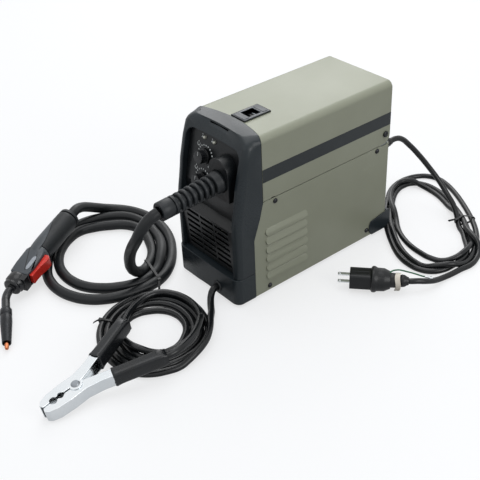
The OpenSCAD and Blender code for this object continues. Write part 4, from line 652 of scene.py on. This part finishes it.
def boot_ring(z, radius, core=None):
    """Points round the boot; between the ribs only the two bridges keep the full radius."""
    points = []
    for k in range(steps):
        turn = math.tau * k / steps
        near = min(abs(math.remainder(turn - a, math.tau)) for a in bridges)
        r = radius if core is None or near < bridge_half else core
        points.append(boot @ Vector((r * math.cos(turn), r * math.sin(turn), z)))
    return points


rings = [boot_ring(0.4, root_r), boot_ring(1, 15.9), boot_ring(6, 15.9), boot_ring(7, root_r)]
for k in range(7):
    z = boot_root + k * rib_pitch
    r = root_r - taper * k
    rings += [boot_ring(z - 0.8, r), boot_ring(z, r - 0.6), boot_ring(z + 0.4, r - 0.6, core_r),
              boot_ring(z + rib_gap - 0.4, r - 0.7, core_r), boot_ring(z + rib_gap, r - 0.7),
              boot_ring(z + rib_gap + 0.8, r - 0.1)]
rings += [boot_ring(z, r) for z, r in (
    (79.3, 13.2), (79.8, 12.4), (80, 11.2), (81, 11.2), (81.2, 12.6), (82, 13.2), (99.2, 13.2),
    (boot_end, 12.4), (boot_end, 8.6), (99.4, 8.1), (90, 8.1))]
lofted("torch_boot_ribbed", rings, "case", ("torch_boot",), rubber, sharp=50)
# turned brass: warm yellow with fine lathe rings
brass = surface("turned_brass", "#C0A260", "#A88B4C", "#D8C088", 12, 0.4, (0.18, 0.34), 0.01,
                metallic=1, stretch=(0.1, 1, 0.1))
dressed(brass, "torch_outlet_tube")

# Wire feed. A small gear motor turns the grooved drive roll, and a sprung arm presses the wire onto
# it with a second roll; the knob above sets the spring.
# hardened and ground steel: bright, with fine rings
steel = surface("ground_steel", "#C6C9CB", "#AEB1B4", "#DCDDDD", 15, 0.4, (0.14, 0.3), 0.01,
                metallic=1, stretch=(1, 0.15, 1))
dressed(steel, "drive_roll", "pressure_roller", "tension_spring")
# glass-filled nylon arm and phenolic knob: black, dull, pale where the knob is gripped
black_nylon = surface("black_nylon", "#26292B", "#1C1E20", "#4D5053", 25, 0.8, (0.36, 0.55), 0.04)
dressed(black_nylon, "pressure_arm", "tension_knob", "fan_rotor", "wire_spool")
# stove enamel on the motor's steel can: dark grey, half gloss, chipped at the edges
motor_enamel = surface("motor_enamel", "#3C4043", "#313538", "#8A8D8F", 30, 1.0, (0.28, 0.42), 0.02,
                       wear=0.4)
dressed(motor_enamel, "feeder_motor")

# Spool wire. Copper-washed steel wire lies in even layers on the spool; the turns show as fine rings.
winding = surface("wound_wire", "#B98056", "#9E6A44", "#D7A37C", 18, 0.9, (0.22, 0.4), 0.25,
                  metallic=1, stretch=(1, 0.02, 0.02))
dressed(winding, "spool_wire")

# Heat sink. An extruded aluminium comb cools the transistors in the fan's air.
# extruded aluminium: pale grey with die lines along the fins
aluminium = surface("extruded_aluminium", "#C9CCCE", "#B2B5B8", "#DEDFE0", 30, 0.6, (0.25, 0.4), 0.02,
                    metallic=1, stretch=(1, 0.03, 1))
dressed(aluminium, "heat_sink")

# Fan and mains switch. The fan draws air in through slots in the rear panel. Beside the cord's
# outlet the rocker switch snaps into the same panel; its ends carry the usual on and off signs.
softened("switch_frame", 0.4, "case", panel_plastic)
softened("switch_rocker", 0.4, "rocker", knob_plastic)
rocker = Matrix.Translation((-30, 149, 133)) @ Matrix.Rotation(math.radians(8), 4, "Z")
signs = []
for x, slope, shapes in ((7.4, 13.5, [bar(0, 0, 0.9, 4.6)]), (-7.4, -13.5, ring_sign(0, 0, 2))):
    flat = (rocker @ Matrix.Translation((x, 2.48, 0)) @ Matrix.Rotation(math.radians(slope), 4, "Z")
            @ Matrix.Rotation(-math.pi / 2, 4, "X"))
    signs += [(flat, shape) for shape in shapes]
printed("rocker_signs", signs, "rocker")
dressed(black_nylon, "fan_frame")

# Mains gland and plug. The gland's nut and ribbed sleeve hold the cord; its moulded plug sits in a
# two-pin adapter with nickel-plated blades.
softened("mains_gland", 0.4, "case", panel_plastic)
# moulded PVC: black, slightly soft, with a low sheen
plug_vinyl = surface("moulded_pvc", "#191B1D", "#121415", "#2C2F31", 60, 0.8, (0.24, 0.36), 0.02,
                     wear=0.15, specular=0.4)
softened("plug_body", 0.5, "case", plug_vinyl)
softened("plug_adapter", 0.8, "case", plug_vinyl)
plug = (Matrix.Translation(mains_route[-1]) @ Matrix.Rotation(math.radians(221.5), 4, "Z")
        @ Matrix.Rotation(math.pi / 2, 4, "Y"))
for k, y in enumerate((-7.5, 0, 7.5)):
    lofted("adapter_rib_%d" % k, [[plug @ Vector((x, y + w, z)) for x, w in
                                   ((-11.9, -1.4), (-12.9, -0.9), (-12.9, 0.9), (-11.9, 1.4))]
                                  for z in (55, 81.5)], "case", (), plug_vinyl,
           width=0.3)
# bright nickel over brass: mirror-like, faintly yellow, with insertion scratches
nickel = surface("nickel_plate", "#F3F6F8", "#E9EEF1", "#FAFBFC", 40, 0.6, (0.1, 0.22), 0.008,
                 metallic=1, stretch=(0.2, 1, 1))
softened("plug_blades", 0.3, "case", nickel)

# Tag and earth wire. A plain paper band hangs loose round the plug's neck; the adapter's thin green
# earth wire ends in a fork terminal that lies on the cord.
# coated paper: warm white, a little creased, with a low gloss
paper = surface("coated_paper", "#E8E0D2", "#DDD3C2", "#C9BDA8", 9, 2.5, (0.4, 0.6), 0.12, wear=0.5)
band, sag, squash = [], 2.2, 0.88
for k in range(36):
    turn = math.tau * k / 36
    sway = 0.9 * math.sin(3 * turn)
    band.append([plug @ Vector((sag + q * math.cos(turn), squash * q * math.sin(turn), z + sway))
                 for q, z in ((13.1, 12.2), (13.5, 12.2), (13.7, 19.4), (13.3, 19.4))])
lofted("plug_tag", band, "case", (), paper, loop=True)
wire_route = [
    (181.5, 37, 31.6), (180.9, 40.5, 32.3), (181.6, 44.5, 32.6), (183.4, 48.3, 32.6),
    (185.6, 51.8, 32.2), (188.2, 55.2, 31.2), (191.2, 58.5, 29.8), (194, 61.7, 28.3),
    (196.5, 64.8, 26.9), (198.8, 67.9, 25.4), (201.1, 71, 23.7), (203.5, 74, 22), (206, 76.7, 20.5),
    (208.8, 79.2, 19.6), (211.8, 81.6, 19.4),
]
wire_diameter = 2.2
# thin-wall vinyl: green, glossy
wire_green = surface("green_vinyl", "#1F6B46", "#195A3A", "#3F8A66", 12, 0.5, (0.2, 0.34), 0.01)
wire = piece("earth_wire", round_cord("earth_wire", wire_route, wire_diameter), "case",
             (), wire_green)
fork = (Matrix.Translation(wire_route[-1]) @ Matrix.Rotation(math.radians(48), 4, "Z")
        @ Matrix.Rotation(math.radians(6), 4, "Y"))
crimp = lofted("earth_wire_crimp", [[fork @ Vector((x, r * math.cos(math.tau * k / 16),
                                                    r * math.sin(math.tau * k / 16)))
                                     for k in range(16)] for x, r in
                                    ((-2.6, 1.3), (-2.4, 1.6), (2.2, 1.6), (2.6, 1.2))],
               "case", (), nickel)
tongue = [(2, -1.4), (4, -2.9), (9, -2.9), (9, -1.5), (5.4, -1.2), (5.4, 1.2), (9, 1.5), (9, 2.9),
          (4, 2.9), (2, 1.4)]
tines = lofted("earth_wire_fork", [[fork @ Vector((x, y, z)) for x, y in tongue]
                                   for z in (-0.4, 0.4)], "case", (), nickel)

# Torch grip, body and trigger. Soft rubber grip over the rear tube, a grey nylon body with a parting
# line in front of it, and a red trigger in the body's pocket.
torch = (Matrix.Translation((-247, -232, 43.4))
         @ Euler((0, math.radians(8), math.radians(-63))).to_matrix().to_4x4())
softened("torch_grip", 0.6, "case", rubber)


def around(x, r, count, first=0.0, last=360.0, step=1.0):
    """Points at radius r round the torch's X axis, from one angle towards another, in degrees."""
    turns = [math.radians(first + (last - first) * k * step / count) for k in range(count)]
    return [torch @ Vector((x, r * math.cos(t), r * math.sin(t))) for t in turns]


lofted("torch_grip_collar", [around(x, r, 48) for x, r in
                             ((-0.6, 15), (0.2, 16.2), (4.6, 16.6), (5.2, 15.6))],
       "case", (), rubber)
# glass-filled nylon, satin: a cool mid grey with flow marks
torch_nylon = surface("grey_nylon", "#454A4F", "#3A3F43", "#666B70", 35, 0.8, (0.3, 0.44), 0.03)
softened("torch_body", 1.6, "case", torch_nylon, segments=3)
# the body runs back beside the grip as a tapering cheek
cheek, cheek_last, cheek_points, grip_r = [], 214, 18, 16.2
cheek_step = cheek_points / (cheek_points - 1)
for x, first, r in ((12, 148, 17.1), (22, 130, 17.3), (36, 110, 17.6), (52, 90, 17.9), (68, 76, 18.1),
                    (80, 69, 17.9), (88, 68, 17.2), (95, 68, 15.8), (101, 68, 14)):
    outer = around(x, r, cheek_points, first, cheek_last, cheek_step)
    inner = around(x, min(grip_r, r - 1), cheek_points, first, cheek_last, cheek_step)
    cheek.append(outer + inner[::-1])
lofted("torch_cheek", cheek, "case", (), torch_nylon, sharp=50)
shell = bpy.data.objects["torch_body"]
shell = BVHTree.FromPolygons([shell.matrix_world @ v.co for v in shell.data.vertices],
                             [face.vertices[:] for face in shell.data.polygons])


def on_shell(x, y, height):
    """A point over the shell's upper side, `height` mm off it, found from well above."""
    above = 60
    away = torch.to_3x3() @ Vector((0, 0, 1))
    hit = shell.ray_cast((torch @ Vector((x, y, above))) * mm, -away)[0]
    return hit / mm + away * height


# parting line, and a plain oval plate by the trigger
line = [(89 + 4.3 * k, -11.5 + 1.75 * k) for k in range(12)]
lofted("torch_seam", [[on_shell(x, y + w, h) for w, h in ((-0.6, -0.3), (0.6, -0.3), (0.6, 0.1),
                                                          (-0.6, 0.1))] for x, y in line],
       "case", (), recess)
oval = [(121 + 8.5 * math.cos(t) + 5 * math.copysign(1, math.cos(t)), 9.6 + 3.2 * math.sin(t))
        for t in (math.tau * (k + 0.5) / 24 for k in range(24))]
plate_grey = surface("plate_grey", "#A9ADB2", "#989CA1", "#C2C5C8", 12, 0.5, (0.28, 0.42), 0.02)
lofted("torch_plate", [[on_shell(x, y, h) for x, y in oval] for h in (-0.6, 0.6)], "case",
       (), plate_grey, width=0.2)
# dyed acetal: a strong red with a waxy shine
red_acetal = surface("red_acetal", "#E23A2E", "#CE2E24", "#EC6C5E", 20, 0.6, (0.2, 0.32), 0.01)
softened("torch_trigger", 0.9, "trigger", red_acetal)

# Torch neck, nozzle and tip. A black union nut holds the sleeved swan neck; the nozzle is a blackened
# steel cone round the copper contact tip.
# shrunk-on glass-fibre sleeve and bakelite nut: glossy black
neck_gloss = surface("neck_sleeve", "#1B1D20", "#121315", "#45484B", 25, 0.6, (0.14, 0.28), 0.02)
softened("torch_neck", 0.6, "case", neck_gloss)
softened("torch_nozzle", 0.3, "case", black_oxide)
# drawn copper: orange-pink, rubbed bright
copper = surface("drawn_copper", "#E8946A", "#D27E56", "#F2B896", 15, 0.5, (0.14, 0.28), 0.01,
                 metallic=1)
softened("contact_tip", 0.2, "case", copper)

# Earth clamp. Two pressed and nickel-plated steel halves turn on a rivet inside a torsion spring, and
# the lead ends at one of them. A grommet guards the lead where it leaves the front foot.
softened("earth_grommet", 0.4, "case", rubber)
softened("clamp_jaw_fixed", 0.5, "case", nickel)
softened("clamp_jaw_moving", 0.5, "clamp_jaw", nickel)
dressed(zinc, "clamp_rivet")

# Clamp sleeves. Dipped vinyl sleeves pushed over the handles: open and flared at the front, pinched
# flat over the handle's end.
clamp = (Matrix.Translation((74, -415, 19.8))
         @ Euler((0, math.radians(9.1), math.radians(-88))).to_matrix().to_4x4())
spread, handle, handle_foot = math.radians(21), 46, 3
sleeve_foot = (Matrix.Translation((-handle * math.cos(spread), handle_foot + handle * math.sin(spread), 0))
               @ Matrix.Rotation(math.pi - spread, 4, "Z"))


def sleeve_ring(side, s, out, back, half, ruck=0.0):
    """A rounded rectangle across the handle, `s` mm along the sleeve; `ruck` crumples its edge."""
    corner = 0.45
    points = []
    for k in range(32):
        turn = math.tau * (k + 0.5) / 32
        y = math.copysign(abs(math.cos(turn)) ** corner, math.cos(turn)) * (out + back) / 2
        z = math.copysign(abs(math.sin(turn)) ** corner, math.sin(turn)) * half
        shift = ruck * math.sin(k * 2.3) * math.cos(k * 0.9)
        spot = sleeve_foot @ Vector((s + shift, y + (back - out) / 2, z * (1 + 0.04 * shift)))
        points.append(clamp @ Vector((spot.x, side * spot.y, spot.z)))
    return points


# dipped vinyl over steel: soft black with long highlights and rucked edges
sleeve_vinyl = surface("dipped_vinyl", "#1A1D20", "#111315", "#383C3F", 30, 1.0, (0.16, 0.32), 0.06,
                       wear=0.3, specular=0.45)
for name, side, half, body in (("sleeve_fixed", 1, 11.1, "case"),
                               ("sleeve_moving", -1, 12.9, "clamp_jaw")):
    rings = [(10, 8, 6.8, half - 1.2, 0), (0.6, 8.2, 7.2, half - 0.9, 0), (-0.4, 9, 8, half, 1.1),
             (0.6, 9.6, 8.6, half + 0.6, 1.0), (3, 9.2, 8.2, half + 0.3, 0.4), (9, 8.8, 7.8, half, 0),
             (40, 8.8, 7.8, half, 0), (58, 8.8, 7.8, half - 0.2, 0.2), (66.6, 8.8, 7.8, half - 0.5, 0.2),
             (69, 8.8, 7.9, half - 2.2, 0.4), (71.6, 9.1, 8.2, half - 3, 0.8),
             (72, 8, 7, half - 4, 0.5)]
    lofted(name + "_dipped", [sleeve_ring(side, *ring) for ring in rings], body,
           (name,), sleeve_vinyl, sharp=60)
